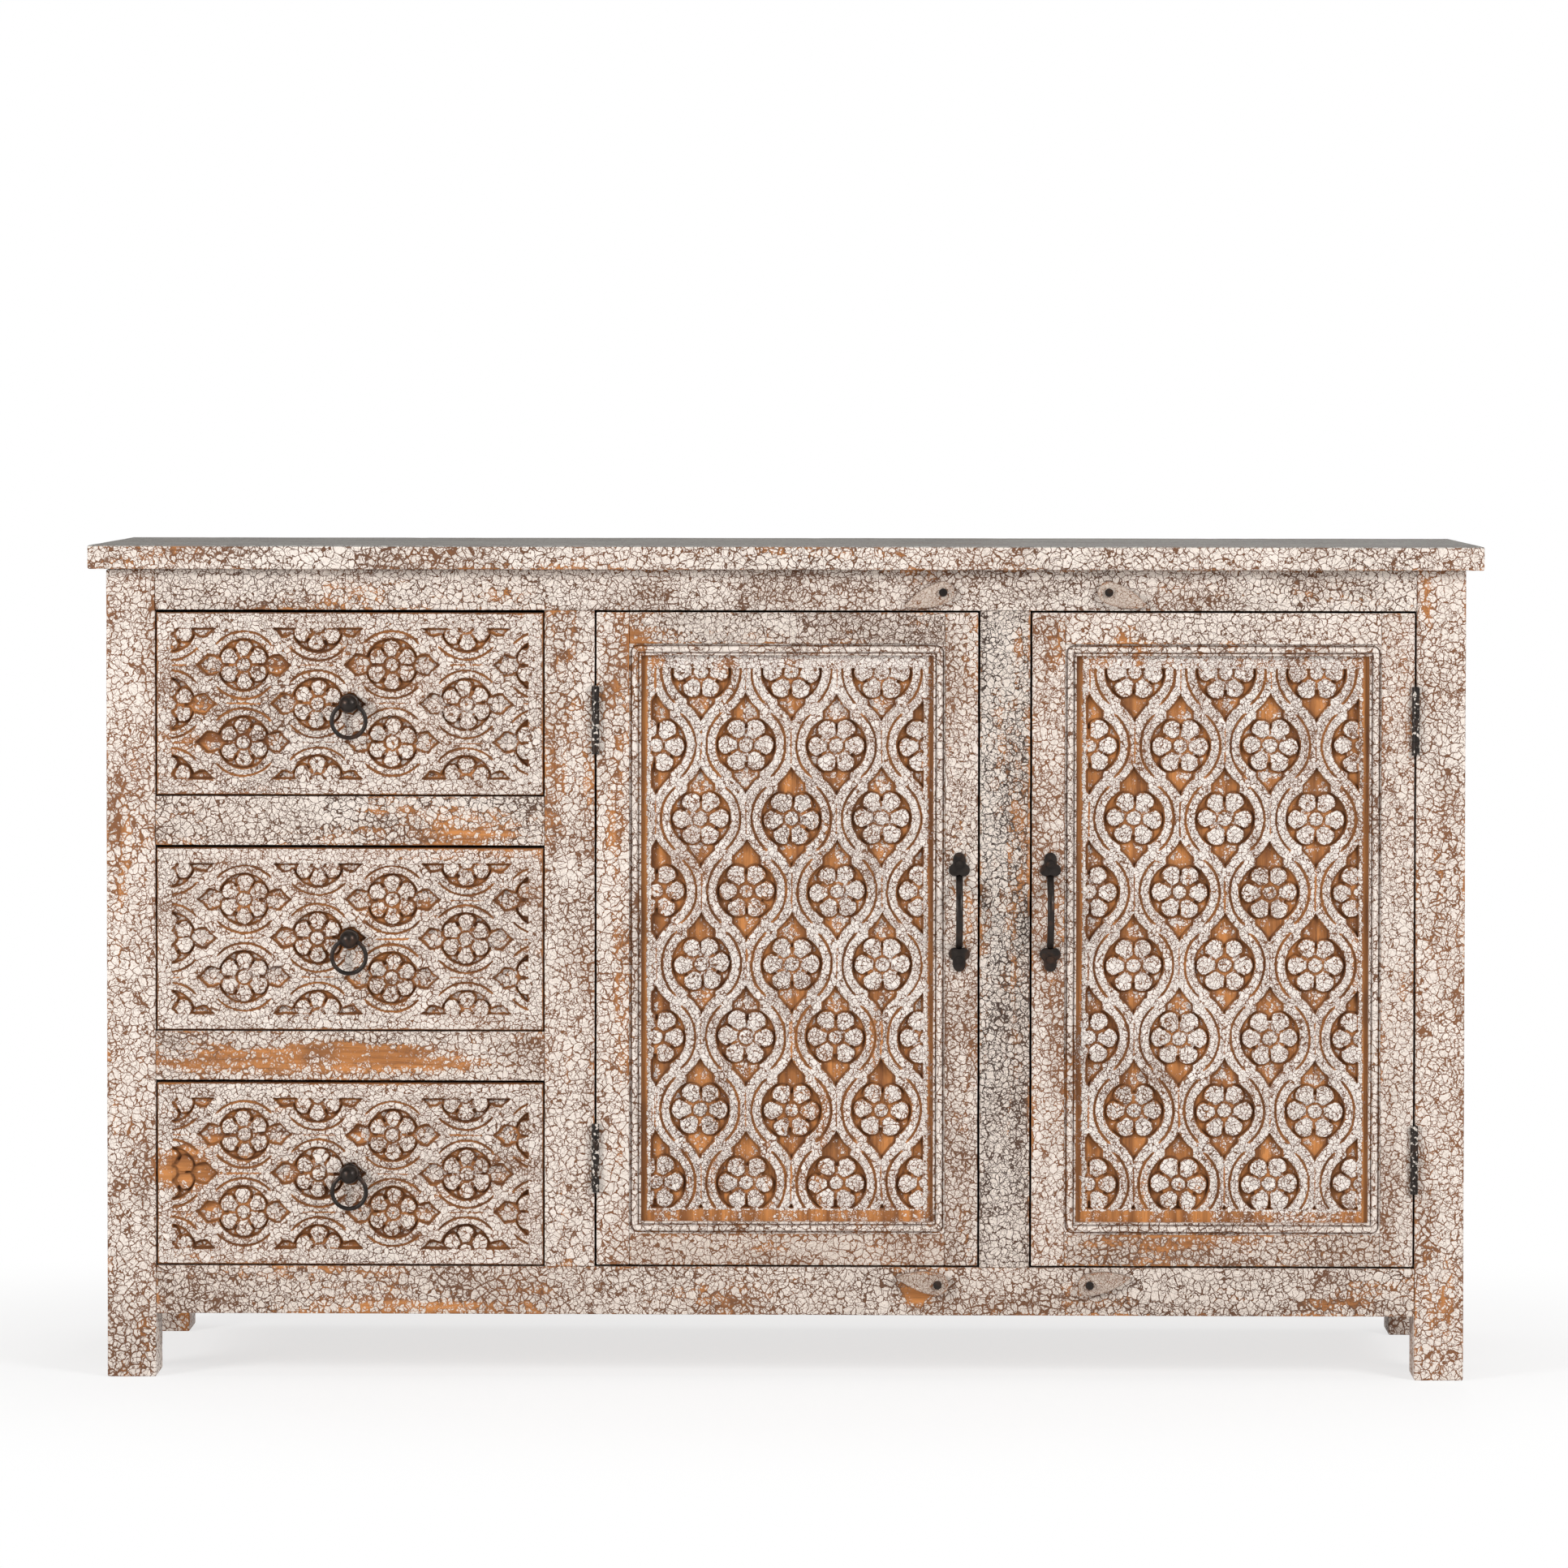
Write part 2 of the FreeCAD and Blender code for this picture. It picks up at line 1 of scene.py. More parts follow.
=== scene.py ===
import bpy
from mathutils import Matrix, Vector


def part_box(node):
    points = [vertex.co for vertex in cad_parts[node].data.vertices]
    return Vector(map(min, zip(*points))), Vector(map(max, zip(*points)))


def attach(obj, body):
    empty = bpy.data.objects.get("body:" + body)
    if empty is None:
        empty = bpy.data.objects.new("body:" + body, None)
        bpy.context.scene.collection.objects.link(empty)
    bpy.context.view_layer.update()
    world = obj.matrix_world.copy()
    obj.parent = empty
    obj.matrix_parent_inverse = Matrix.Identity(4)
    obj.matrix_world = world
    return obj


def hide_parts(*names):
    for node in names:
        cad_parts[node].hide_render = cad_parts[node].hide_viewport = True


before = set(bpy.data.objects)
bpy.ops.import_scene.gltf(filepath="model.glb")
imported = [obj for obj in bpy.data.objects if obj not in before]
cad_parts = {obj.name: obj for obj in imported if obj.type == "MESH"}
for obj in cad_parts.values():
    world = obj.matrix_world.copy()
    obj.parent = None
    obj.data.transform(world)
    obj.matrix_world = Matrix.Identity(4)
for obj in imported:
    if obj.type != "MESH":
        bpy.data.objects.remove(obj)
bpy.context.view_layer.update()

from math import asin, copysign, cos, pi, radians, sin
from types import SimpleNamespace

import bpy
import numpy as np
from mathutils import Matrix, Vector

# A carved sideboard in crackled cream paint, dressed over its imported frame. Metres, front towards -Y.
MM = 0.001

# Camera, solved from the photograph's corners
IMAGE_SIZE = 1932
FOCAL_PIXELS = 7471.9
SHIFT_PIXELS = -248.4  # the lens was raised so that uprights stay upright
SENSOR_MM = 36.0
CAMERA_FROM_FACE = Vector((0.0895, -6.5204, 1.0475))  # from the front frame's face, at floor level
CAMERA_YAW = 0.0139
CAMERA_PITCH = -0.0287
CAMERA_ROLL = -0.001

# Places read from the frame
LEFT_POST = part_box("front_left_post")
RIGHT_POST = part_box("front_right_post")
FACE = LEFT_POST[0].y
DRAWERS = ("upper", "middle", "lower")
DOORS = ("left", "right")
PANEL_GROOVE = 8 * MM

# How boards are worked
BOARD_STEP = 10 * MM
EDGE_ROUND = 1.3 * MM
POST_ROUND = 2 * MM
TOP_ROUND = 2.5 * MM
WAVE_DEPTH = 0.25 * MM
WAVE_CELL = 60 * MM
NICK_DEPTH = 1.3 * MM
NICK_CELL = 14 * MM
RAIL_HEIGHT = 52 * MM

# How boards are painted
BOARD_CRACKLE = 104.0  # flakes per metre
BOARD_FINE = 0.02  # how much dirt and fine crackle a board has
BOARD_WEAR = 0.22
BOARD_TINT = 0.6  # the cracks' colour, from near black at 0 to brown at 1
# How strongly faces that look up, as on the top, get a painted grey reflection
REFLECTION_STRENGTH = 0.75
LOOKS_UP = 0.45  # a painted grey reflection lies where a normal's z is above this
FAR_FROM_EDGE = 0.02

# Each kind of piece draws its random numbers from seeds of its own
POST_SEED, TOP_SEED, RAIL_SEED, STILE_SEED, SIDE_SEED = 11, 21, 22, 26, 31
DRAWER_SEED, PANEL_SEED, DOOR_SEED, LATCH_SEED = 41, 51, 61, 91


def smoothstep(low, high, value):
    t = np.clip((value - low) / (high - low), 0, 1)
    return t * t * (3 - 2 * t)


def smooth_noise(points, cell, seed):
    """Values from -1 to 1 that vary smoothly over one cell, at an array of points."""
    size = 32
    table = np.random.default_rng(seed).uniform(-1, 1, (size, size, size))
    q = points / cell
    base = np.floor(q).astype(int)
    f = smoothstep(0, 1, q - base)
    total = np.zeros(points.shape[:-1])
    for corner in range(8):
        bits = [(corner >> axis) & 1 for axis in range(3)]
        index = [(base[..., axis] + bits[axis]) % size for axis in range(3)]
        weight = np.ones(total.shape)
        for axis in range(3):
            weight *= f[..., axis] if bits[axis] else 1 - f[..., axis]
        total += weight * table[index[0], index[1], index[2]]
    return total


class Graph:
    """The node tree of a material or the world, built with short calls."""

    def __init__(self, owner, shader="Principled BSDF"):
        self.owner = owner
        owner.use_nodes = True
        self.tree = owner.node_tree
        self.shader = self.tree.nodes[shader]

    def put(self, value, socket):
        if isinstance(value, bpy.types.NodeSocket):
            self.tree.links.new(value, socket)
        else:
            socket.default_value = value

    def set(self, name, value):
        self.put(value, self.shader.inputs[name])

    def add(self, kind, inputs=(), **settings):
        node = self.tree.nodes.new(kind)
        for key, value in settings.items():
            setattr(node, key, value)
        for key, value in dict(inputs).items():
            self.put(value, node.inputs[key])
        return node

    def attribute(self, name):
        return self.add("ShaderNodeAttribute", attribute_name=name)

    def math(self, operation, a, b=0.0, clamp=False):
        return self.add("ShaderNodeMath", {0: a, 1: b}, operation=operation, use_clamp=clamp).outputs[0]

    def times(self, a, b):
        return self.math("MULTIPLY", a, b)

    def total(self, *values):
        result = values[0]
        for value in values[1:]:
            result = self.math("ADD", result, value)
        return result

    def vector(self, operation, a, b):
        return self.add("ShaderNodeVectorMath", {0: a, 1: b}, operation=operation).outputs[0]

    def stretched(self, where, amount):
        """Coordinates that run slower along the grain, so that a noise is drawn out along it."""
        return self.vector("MULTIPLY", where, (amount, 1.0, 1.0))

    def scaled(self, a, amount):
        return self.add("ShaderNodeVectorMath", {0: a, "Scale": amount}, operation="SCALE").outputs[0]

    def spread(self, value, weight):
        """A value from 0 to 1, moved to lie about zero and weighted."""
        return self.times(self.math("SUBTRACT", value, 0.5), weight)

    def mix(self, factor, a, b):
        return self.add("ShaderNodeMix", {0: factor, 6: a, 7: b}, data_type="RGBA").outputs[2]

    def fade(self, value, low, high, start=0.0, end=1.0):
        inputs = {0: value, 1: low, 2: high, 3: start, 4: end}
        return self.add("ShaderNodeMapRange", inputs, interpolation_type="SMOOTHSTEP").outputs[0]

    def noise(self, where, scale, detail=2.0, roughness=0.5, output="Fac"):
        inputs = {"Vector": where, "Scale": scale, "Detail": detail, "Roughness": roughness}
        return self.add("ShaderNodeTexNoise", inputs).outputs[output]

    def cells(self, where, scale, feature):
        return self.add("ShaderNodeTexVoronoi", {"Vector": where, "Scale": scale}, feature=feature)

    def bump(self, height, distance, strength):
        inputs = {"Height": height, "Distance": distance, "Strength": strength}
        self.set("Normal", self.add("ShaderNodeBump", inputs).outputs[0])


def rgb(r, g, b):
    return (r, g, b, 1.0)


# Colours of the finishes, of painted shade and of a painted grey reflection
CREAM, OLD_CREAM = rgb(0.855, 0.772, 0.702), rgb(0.705, 0.618, 0.548)
PALE_CREAM, DIRTY_CREAM = rgb(0.93, 0.885, 0.845), rgb(0.4, 0.33, 0.28)
STAINED_CREAM, SPLASHED_CREAM = rgb(0.36, 0.25, 0.17), rgb(0.62, 0.56, 0.5)
DARK_CRACK, BROWN_CRACK = rgb(0.042, 0.025, 0.018), rgb(0.2, 0.08, 0.031)
DARK_WOOD, LIGHT_WOOD = rgb(0.21, 0.074, 0.02), rgb(0.56, 0.225, 0.062)
WOOD_PORES, STAINED_WOOD = rgb(0.09, 0.034, 0.012), rgb(0.13, 0.052, 0.02)
# The shaded wood is painted shade on steep carved walls and in the moulding's quirks
SHADED_WOOD, OILED_WOOD = rgb(0.085, 0.029, 0.009), rgb(0.42, 0.27, 0.15)
# Painted shade for hollows, quirks and the panel's sides by the moulding, and a painted grey reflection for
# faces that look up
PAINTED_SHADE, REFLECTED_GREY = rgb(0.07, 0.025, 0.009), rgb(0.185, 0.19, 0.182)
DARK_IRON, GREY_IRON, RUST = rgb(0.011, 0.009, 0.008), rgb(0.046, 0.036, 0.031), rgb(0.085, 0.04, 0.022)

# A mesh's attributes that say how its paint is, and where shade and a grey reflection are painted on it
MARKS = ("edge", "wear", "depth", "slope", "grime", "tint", "crackle", "fine", "bold", "pale", "dust",
         "stain")

# Cracks from wide to hair-fine: how much finer than the flakes, width as a share of a cell, and strength
CRACKS = ((1.0, 0.056, 1.0), (1.9, 0.049, 0.95), (3.6, 0.055, 0.28))


def wood_colour(g, where):
    """Brown hardwood with its grain along the first coordinate. Noise scales are per metre."""
    figure = g.noise(g.stretched(where, 0.06), 90, 5, 0.62)
    pores = g.noise(g.stretched(where, 0.03), 700, 3, 0.6)
    tone = g.mix(g.fade(figure, 0.32, 0.68), DARK_WOOD, LIGHT_WOOD)
    tone = g.mix(g.fade(pores, 0.55, 0.72, 0.0, 0.65), tone, WOOD_PORES)
    stain = g.noise(where, 14, 3)
    return g.mix(g.fade(stain, 0.5, 0.72, 0.0, 0.55), tone, STAINED_WOOD)


def crackle_paint(name):
    """Cream paint broken into flakes, worn to brown wood on edges, in streaks and in the carved ground.

    The mesh says by its attributes where the paint is worn or dirty, and where shade and a grey reflection
    are painted on it. Noise scales are per metre.
    """
    g = Graph(bpy.data.materials.new(name))
    where = g.attribute("board").outputs["Vector"]
    mark = SimpleNamespace(**{key: g.attribute(key).outputs["Fac"] for key in MARKS})
    warped = where
    for scale, amount in ((45, 0.01), (210, 0.0046)):
        stray = g.vector("SUBTRACT", g.noise(where, scale, output="Color"), (0.5, 0.5, 0.5))
        warped = g.vector("ADD", warped, g.scaled(stray, amount))

    # How far the paint is worn
    flake = g.cells(warped, mark.crackle, "F1").outputs["Color"]
    flake = g.add("ShaderNodeSeparateColor", {0: flake}).outputs[0]
    streak = g.noise(g.stretched(where, 0.12), 46, 4, 0.6)
    speck = g.math("SUBTRACT", g.noise(where, 480, 4, 0.65), 0.5)
    level = g.total(mark.wear, g.math("SUBTRACT", streak, 0.5),
                    g.spread(g.noise(where, 6.5, 3, 0.55), 0.7),
                    g.fade(mark.edge, 0.0, 0.004, 0.14, 0.0),
                    g.fade(mark.slope, 0.45, 1.0, 0.0, 0.34))
    carved = g.fade(mark.depth, 0.3, 0.8)
    local = g.total(g.spread(g.noise(where, 70, 3, 0.6), 1.3), 0.24)
    level = g.total(level, g.times(carved, local), g.spread(flake, 0.2), g.times(speck, 0.65))
    bare = g.fade(level, 0.55, 0.7)

    # Cracks of three sizes: they open with wear, and the finer ones branch, come and go
    area = g.total(g.noise(where, 11), mark.fine)
    zone = g.noise(g.stretched(where, 0.35), 17, 3, 0.6)
    dirty = g.fade(g.total(zone, mark.fine), 0.5, 0.69)
    breadth = g.fade(g.noise(where, 75), 0.32, 0.68, 0.68, 1.12)
    breadth = g.times(breadth, g.fade(level, 0.3, 0.64, 0.95, 2.6))
    breadth = g.times(breadth, g.fade(dirty, 0.0, 1.0, 0.92, 1.55))
    branch = g.times(g.fade(g.noise(where, 100), 0.34, 0.52), g.fade(area, 0.38, 0.62, 0.55, 1.15))
    branch = g.total(branch, g.fade(level, 0.36, 0.66, 0.0, 2.2), g.times(dirty, 0.7))
    hair = g.fade(area, 0.34, 0.6, 0.3, 1.0)
    crack = 0.0
    widen = g.total(1.0, mark.bold)
    for (finer, width, strength), present in zip(CRACKS, (breadth, branch, hair)):
        scale = g.times(mark.crackle, finer)
        gap = g.cells(warped, scale, "DISTANCE_TO_EDGE").outputs["Distance"]
        reach = g.math("MAXIMUM", g.times(present, g.times(widen, width)), 0.001)
        line = g.fade(g.math("DIVIDE", gap, reach), 0.7, 1.15, strength, 0.0)
        crack = g.math("MAXIMUM", crack, line)

    # Colours
    cream = g.mix(g.noise(where, 30, 3), CREAM, OLD_CREAM)
    cream = g.mix(mark.pale, cream, PALE_CREAM)
    cream = g.mix(g.times(dirty, 0.32), cream, DIRTY_CREAM)
    tone = g.math("ADD", mark.tint, g.spread(g.noise(where, 7, 3), 1.1), clamp=True)
    crack_colour = g.mix(tone, DARK_CRACK, BROWN_CRACK)
    # Steep carved walls and the moulding's quirks turn to darker wood: painted shade
    wood = g.mix(g.fade(mark.slope, 0.25, 0.9, 0.0, 0.45), wood_colour(g, where), SHADED_WOOD)
    crack_colour = g.mix(g.fade(level, 0.34, 0.56, 0.0, 0.85), crack_colour, wood)
    cream = g.mix(mark.stain, cream, STAINED_CREAM)
    colour = g.mix(bare, g.mix(crack, cream, crack_colour), wood)
    # Painted shade darkens hollows, quirks and the panel by the moulding
    colour = g.mix(g.times(mark.grime, 0.65), colour, PAINTED_SHADE)
    # Faces that look up get a painted grey reflection
    colour = g.mix(mark.dust, colour, REFLECTED_GREY)
    g.set("Base Color", colour)
    g.set("Roughness", g.fade(bare, 0.0, 1.0, 0.55, 0.72))
    g.set("Specular IOR Level", 0.35)
    film = g.times(g.math("SUBTRACT", 1.0, crack), g.math("SUBTRACT", 1.0, bare))
    g.bump(g.total(film, g.times(speck, 0.25)), 0.00035, 0.8)
    return g.owner


def bare_wood(axis):
    """Oiled brown hardwood for hidden and inner pieces, with the grain along one axis of the frame."""
    g = Graph(bpy.data.materials.new("bare_wood_" + "xyz"[axis]))
    place = g.add("ShaderNodeTexCoord").outputs["Object"]
    parts = g.add("ShaderNodeSeparateXYZ", {0: place}).outputs
    order = [axis, (axis + 1) % 3, (axis + 2) % 3]
    where = g.add("ShaderNodeCombineXYZ", {i: parts[order[i]] for i in range(3)}).outputs[0]
    pale = g.mix(0.45, wood_colour(g, where), OILED_WOOD)
    g.set("Base Color", pale)
    grain = g.noise(g.stretched(where, 0.04), 420, 4, 0.6)
    g.set("Roughness", g.fade(grain, 0.3, 0.7, 0.5, 0.72))
    g.bump(grain, 0.0003, 0.6)
    return g.owner


def blackened_iron(name, paint):
    """Hand-forged iron, dark with brown rust; paint is how much of the cabinet's paint splashed on it."""
    g = Graph(bpy.data.materials.new(name))
    place = g.add("ShaderNodeTexCoord").outputs["Object"]
    scale = g.noise(place, 160, 4, 0.6)
    rust = g.fade(g.noise(place, 75, 4, 0.6), 0.5, 0.72)
    colour = g.mix(scale, DARK_IRON, GREY_IRON)
    colour = g.mix(g.times(rust, 0.6), colour, RUST)
    splash = g.fade(g.noise(place, 240, 3, 0.6), 0.7 - 0.14 * paint, 0.76 - 0.14 * paint)
    splash = g.times(splash, paint)
    g.set("Base Color", g.mix(splash, colour, SPLASHED_CREAM))
    g.set("Roughness", g.fade(scale, 0.3, 0.7, 0.3, 0.52))
    g.set("Metallic", g.times(g.math("SUBTRACT", 1.0, splash), 0.75))
    g.bump(g.noise(place, 330, 3), 0.0006, 0.5)
    return g.owner


PAINT = crackle_paint("crackle_paint")
BARE = [bare_wood(axis) for axis in range(3)]
IRON = blackened_iron("blackened_iron", 0.0)
HINGE_IRON = blackened_iron("splashed_iron", 1.0)


def placed(name, data):
    """A new object in the scene."""
    obj = bpy.data.objects.new(name, data)
    bpy.context.scene.collection.objects.link(obj)
    return obj


def piece(name, verts, faces, material, body, nodes=(), attributes=(), smooth=None):
    """A mesh that rides on a body and stands for CAD nodes.

    An attribute is one number, or a value for each vertex. smooth counts the first faces that are smooth, if
    not all are.
    """
    mesh = bpy.data.meshes.new(name)
    mesh.from_pydata(np.asarray(verts).tolist(), [], [list(face) for face in faces])
    mesh.update()
    for key, values in dict(attributes).items():
        values = np.asarray(values, np.float32)
        values = values if values.ndim else np.full(len(verts), values)
        kind, field = ("FLOAT_VECTOR", "vector") if values.ndim == 2 else ("FLOAT", "value")
        mesh.attributes.new(key, kind, "POINT").data.foreach_set(field, values.ravel())
    mesh.polygons.foreach_set("use_smooth", np.arange(len(faces)) < (smooth or len(faces)))
    mesh.materials.append(material)
    obj = placed(name, mesh)
    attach(obj, body)
    if nodes:
        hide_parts(*nodes)


def ring_quads(rings, turns, closed=False, inward=False):
    """Quads between rings of turns vertices each; a closed set joins the last ring to the first."""
    faces = []
    for i in range(rings if closed else rings - 1):
        a, b = i * turns, (i + 1) % rings * turns
        for k in range(turns):
            n = (k + 1) % turns
            faces.append([a + k, b + k, b + n, a + n] if inward else [a + k, a + n, b + n, b + k])
    return faces


def board_place(verts, along, seed):
    """Texture coordinates of a board: along its grain first, moved to a place of its own by its seed."""
    order = [along, (along + 1) % 3, (along + 2) % 3]
    shift = np.random.default_rng(seed).uniform(-4, 4, 3)
    return verts[:, order] + shift


def grid_lines(low, high, radius):
    """Places of a box's vertices along one axis, closer at the rounded edges."""
    lead = radius * np.array([0.0, 0.35, 0.7])
    count = max(2, int(round((high - low - 2 * radius) / BOARD_STEP)) + 1)
    inner = np.linspace(low + radius, high - radius, count)
    return np.concatenate([low + lead, inner, (high - lead)[::-1]])


def rounded_box(low, high, radius):
    """Vertices, outward normals, distances to the nearest edge and quads of a box with rounded edges."""
    low, high = np.array(low, float), np.array(high, float)
    axes = [grid_lines(low[a], high[a], radius) for a in range(3)]
    counts = [len(a) for a in axes]
    corners = []
    for a in range(3):
        b, c = (a + 1) % 3, (a + 2) % 3
        ib, ic = np.meshgrid(np.arange(counts[b] - 1), np.arange(counts[c] - 1), indexing="ij")
        for end in (0, counts[a] - 1):
            loop = [(0, 0), (1, 0), (1, 1), (0, 1)] if end else [(0, 0), (0, 1), (1, 1), (1, 0)]
            quad = np.zeros((ib.size, 4, 3), int)
            quad[:, :, a] = end
            for k, (db, dc) in enumerate(loop):
                quad[:, k, b] = ib.ravel() + db
                quad[:, k, c] = ic.ravel() + dc
            corners.append(quad)
    flat = np.ravel_multi_index(tuple(np.moveaxis(np.concatenate(corners), -1, 0)), counts)
    unique, quads = np.unique(flat, return_inverse=True)
    places = np.unravel_index(unique, counts)
    verts = np.stack([axes[a][places[a]] for a in range(3)], 1)
    planes = np.sort(np.minimum(verts - low, high - verts), axis=1)
    inner = np.clip(verts, low + radius, high - radius)
    normals = verts - inner
    normals /= np.linalg.norm(normals, axis=1)[:, None]
    return inner + normals * radius, normals, planes[:, 1], quads.reshape(flat.shape)


def aged_board(low, high, seed, radius):
    """A board's mesh, planed by hand: slightly wavy, with nicks along its edges, never outside its box."""
    verts, normals, edge, quads = rounded_box(low, high, radius)
    local = verts + seed * 1.37
    wave = 0.5 + 0.5 * smooth_noise(local, WAVE_CELL, seed)
    nick = np.clip(smooth_noise(local, NICK_CELL, seed + 1) - 0.25, 0, 1) ** 1.5
    nick *= 1 - smoothstep(0, 2 * radius, edge)
    verts = verts - normals * (wave * WAVE_DEPTH + nick * NICK_DEPTH)[:, None]
    return verts, normals, edge, quads


# Places on the front where the photograph shows more wood: x, z, half-width and half-height in millimetres,
# and amount
WORN_PLACES = (
    (-471, 344, 200, 17, 0.34), (-331, 593, 70, 15, 0.24), (-558, 586, 80, 9, 0.14),
    (-340, 849, 70, 13, 0.26), (-375, 82, 140, 13, 0.2), (628, 94, 50, 20, 0.15),
    (-652, 224, 28, 17, 0.55), (-179, 700, 11, 120, 0.2), (-176, 392, 10, 180, 0.18),
    (-157, 800, 14, 30, 0.22), (196, 515, 11, 80, 0.34), (-715, 568, 13, 50, 0.16),
    (-690, 50, 18, 50, 0.22), (702, 726, 14, 70, 0.18), (710, 85, 22, 60, 0.18),
    (410, 147, 110, 12, 0.28), (234, 647, 8, 80, 0.26), (235, 480, 7, 100, 0.22),
    (-9, 322, 110, 80, 0.12), (-680, 890, 30, 12, 0.06), (244, 884, 45, 13, 0.26),
    (113, 886, 40, 12, 0.16), (288, 788, 10, 30, 0.3), (145, 91.5, 14, 9, 0.7),
    (144, 818, 10, 10, 0.28), (150, 868, 30, 6, 0.35), (364, 807.5, 9, 8, 0.3),
    (255, 790, 8, 20, 0.25))
WORN_GAIN = 1.2
WORN_FALL = 0.8


def worn(verts, base):
    """How worn the paint is at each vertex: the board's own level and the worn places of the front."""
    wear = np.full(len(verts), float(base))
    for x, z, wide, high, amount in WORN_PLACES:
        far = ((verts[:, 0] / MM - x) / wide) ** 2 + ((verts[:, 2] / MM - z) / high) ** 2
        wear += WORN_GAIN * amount * np.exp(-WORN_FALL * far)
    return wear


def make_board(node, body, low, high, along, seed, wear, tint, crackle=BOARD_CRACKLE, fine=BOARD_FINE,
               stain=0.0, top_reflection=False, name=None, radius=EDGE_ROUND):
    """A painted board that stands for a node."""
    verts, normals, edge, quads = aged_board(low, high, seed, radius)
    # Faces that look up, on the top, get a painted grey reflection
    dust = REFLECTION_STRENGTH * (normals[:, 2] > LOOKS_UP) if top_reflection else 0.0
    marks = {"board": board_place(verts, along, seed), "edge": edge, "wear": worn(verts, wear), "tint": tint,
             "crackle": crackle, "fine": fine, "stain": stain, "dust": dust}
    piece(name or node + "_board", verts, quads, PAINT, body, [node], marks)


def between(node, axis, low, high):
    """A node's box with its tenons cut off: one axis runs from low to high."""
    corners = [list(corner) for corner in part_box(node)]
    corners[0][axis] = low
    corners[1][axis] = high
    return corners


def make_front_frame():
    """The posts, rails, stiles and top, as separate worn boards."""
    x0, x1 = LEFT_POST[1].x, RIGHT_POST[0].x
    stile_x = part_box("drawer_stile")[0].x
    low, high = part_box("bottom_front_rail")[1].z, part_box("top_front_rail")[0].z
    tints = {"front_left": 0.75, "front_right": 0.85, "rear_left": BOARD_TINT, "rear_right": BOARD_TINT}
    for number, (name, tint) in enumerate(tints.items()):
        make_board(name + "_post", "carcass", *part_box(name + "_post"), 2, POST_SEED + number, 0.24, tint,
                   radius=POST_ROUND)
    make_board("top_board", "carcass", *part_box("top_board"), 0, TOP_SEED, 0.2, 0.58, top_reflection=True,
               radius=TOP_ROUND)
    # Wear, crack colour, flakes per metre, fineness and stain
    rails = (("top_front_rail", x1, 0.2, 0.45, 125, 0.04, 0.02),
             ("bottom_front_rail", x1, 0.24, 0.55, 112, 0.05, 0.14),
             ("upper_drawer_rail", stile_x, 0.24, 0.3, 115, 0.05, 0.07),
             ("lower_drawer_rail", stile_x, 0.25, 0.6, 125, 0.03, 0.05))
    for number, (node, end, *finish) in enumerate(rails):
        make_board(node, "carcass", *between(node, 0, x0, end), 0, RAIL_SEED + number, *finish)
    stiles = (("drawer_stile", 0.2, 0.7, 108, 0.05, 0.0), ("centre_stile", 0.24, 0.1, 128, 0.08, 0.12))
    for number, (node, *finish) in enumerate(stiles):
        make_board(node, "carcass", *between(node, 2, low, high), 2, STILE_SEED + number, *finish)


def make_sides_and_back_rails():
    """Rails and panels of the two sides, and the rear rails, painted like the front."""
    front_y, rear_y = LEFT_POST[1].y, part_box("rear_left_post")[0].y
    x0, x1 = LEFT_POST[1].x, RIGHT_POST[0].x
    spans = {"left_side_rails": (1, front_y, rear_y), "right_side_rails": (1, front_y, rear_y),
             "rear_rails": (0, x0, x1)}
    seed = SIDE_SEED
    for node, (axis, start, end) in spans.items():
        low, high = between(node, axis, start, end)
        heights = {"lower": (low[2], low[2] + RAIL_HEIGHT), "upper": (high[2] - RAIL_HEIGHT, high[2])}
        for place, (z0, z1) in heights.items():
            make_board(node, "carcass", [*low[:2], z0], [*high[:2], z1], axis, seed, BOARD_WEAR, BOARD_TINT,
                       name="%s_%s_board" % (place, node))
            seed += 1
    for side in DOORS:
        node = side + "_side_panel"
        make_board(node, "carcass", *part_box(node), 2, seed, 0.2, BOARD_TINT)
        seed += 1


# Carving: an ogee trellis of rings, each round a six-petalled flower. Sizes in millimetres; across is the
# direction in which neighbouring rings merge, along is the direction of their points.
CARVE_STEP = 1.03 * MM
CARVE_DEPTH = 6.5
DOOR_PATTERN = SimpleNamespace(
    half_across=48.8, half_along=78.9, disc=33.2, ring=54.0, neck=15.4, pinch=0.0, neck_shift=1.4,
    groove_half=1.6, groove_shift=2.0, groove=44.8, petal_at=20.0, petal_long=10.9, petal_wide=11.4,
    button=8.2)
DRAWER_PATTERN = SimpleNamespace(
    half_across=41.8, half_along=80.1, disc=29.0, ring=50.0, neck=12.2, pinch=3.2, neck_shift=0.0,
    groove_half=1.35, groove_shift=2.0, groove=38.4, petal_at=17.6, petal_long=9.7, petal_wide=10.2,
    button=7.8)
REPEATS = range(-6, 7)
STRAY, STRAY_CELL = 0.5, 21.0  # how far the pattern strays by hand, and over what distance
ROUGH, ROUGH_CELL = 0.45, 5.0  # the chisel's marks on the ground
FLOWER_STRAY = 0.4
GROOVE_HALF_ANGLE = 57.0
GROOVE_FADE = 12.0
GROOVE_DEPTH = 2.0
SEAM_DEPTH = 0.9  # the line between two rings that merge
NECK_WIDEST = 37.0
BAND_ROUND = 0.8  # how far a band falls away to its edges
BAND_SHOULDER = 4.5
PETALS = 6
PETAL_FOOT = 3.8  # depth between the petals
PETAL_GAP, PETAL_WALL = 0.75, 1.3
BUTTON_GAP, BUTTON_WALL = 0.9, 1.1


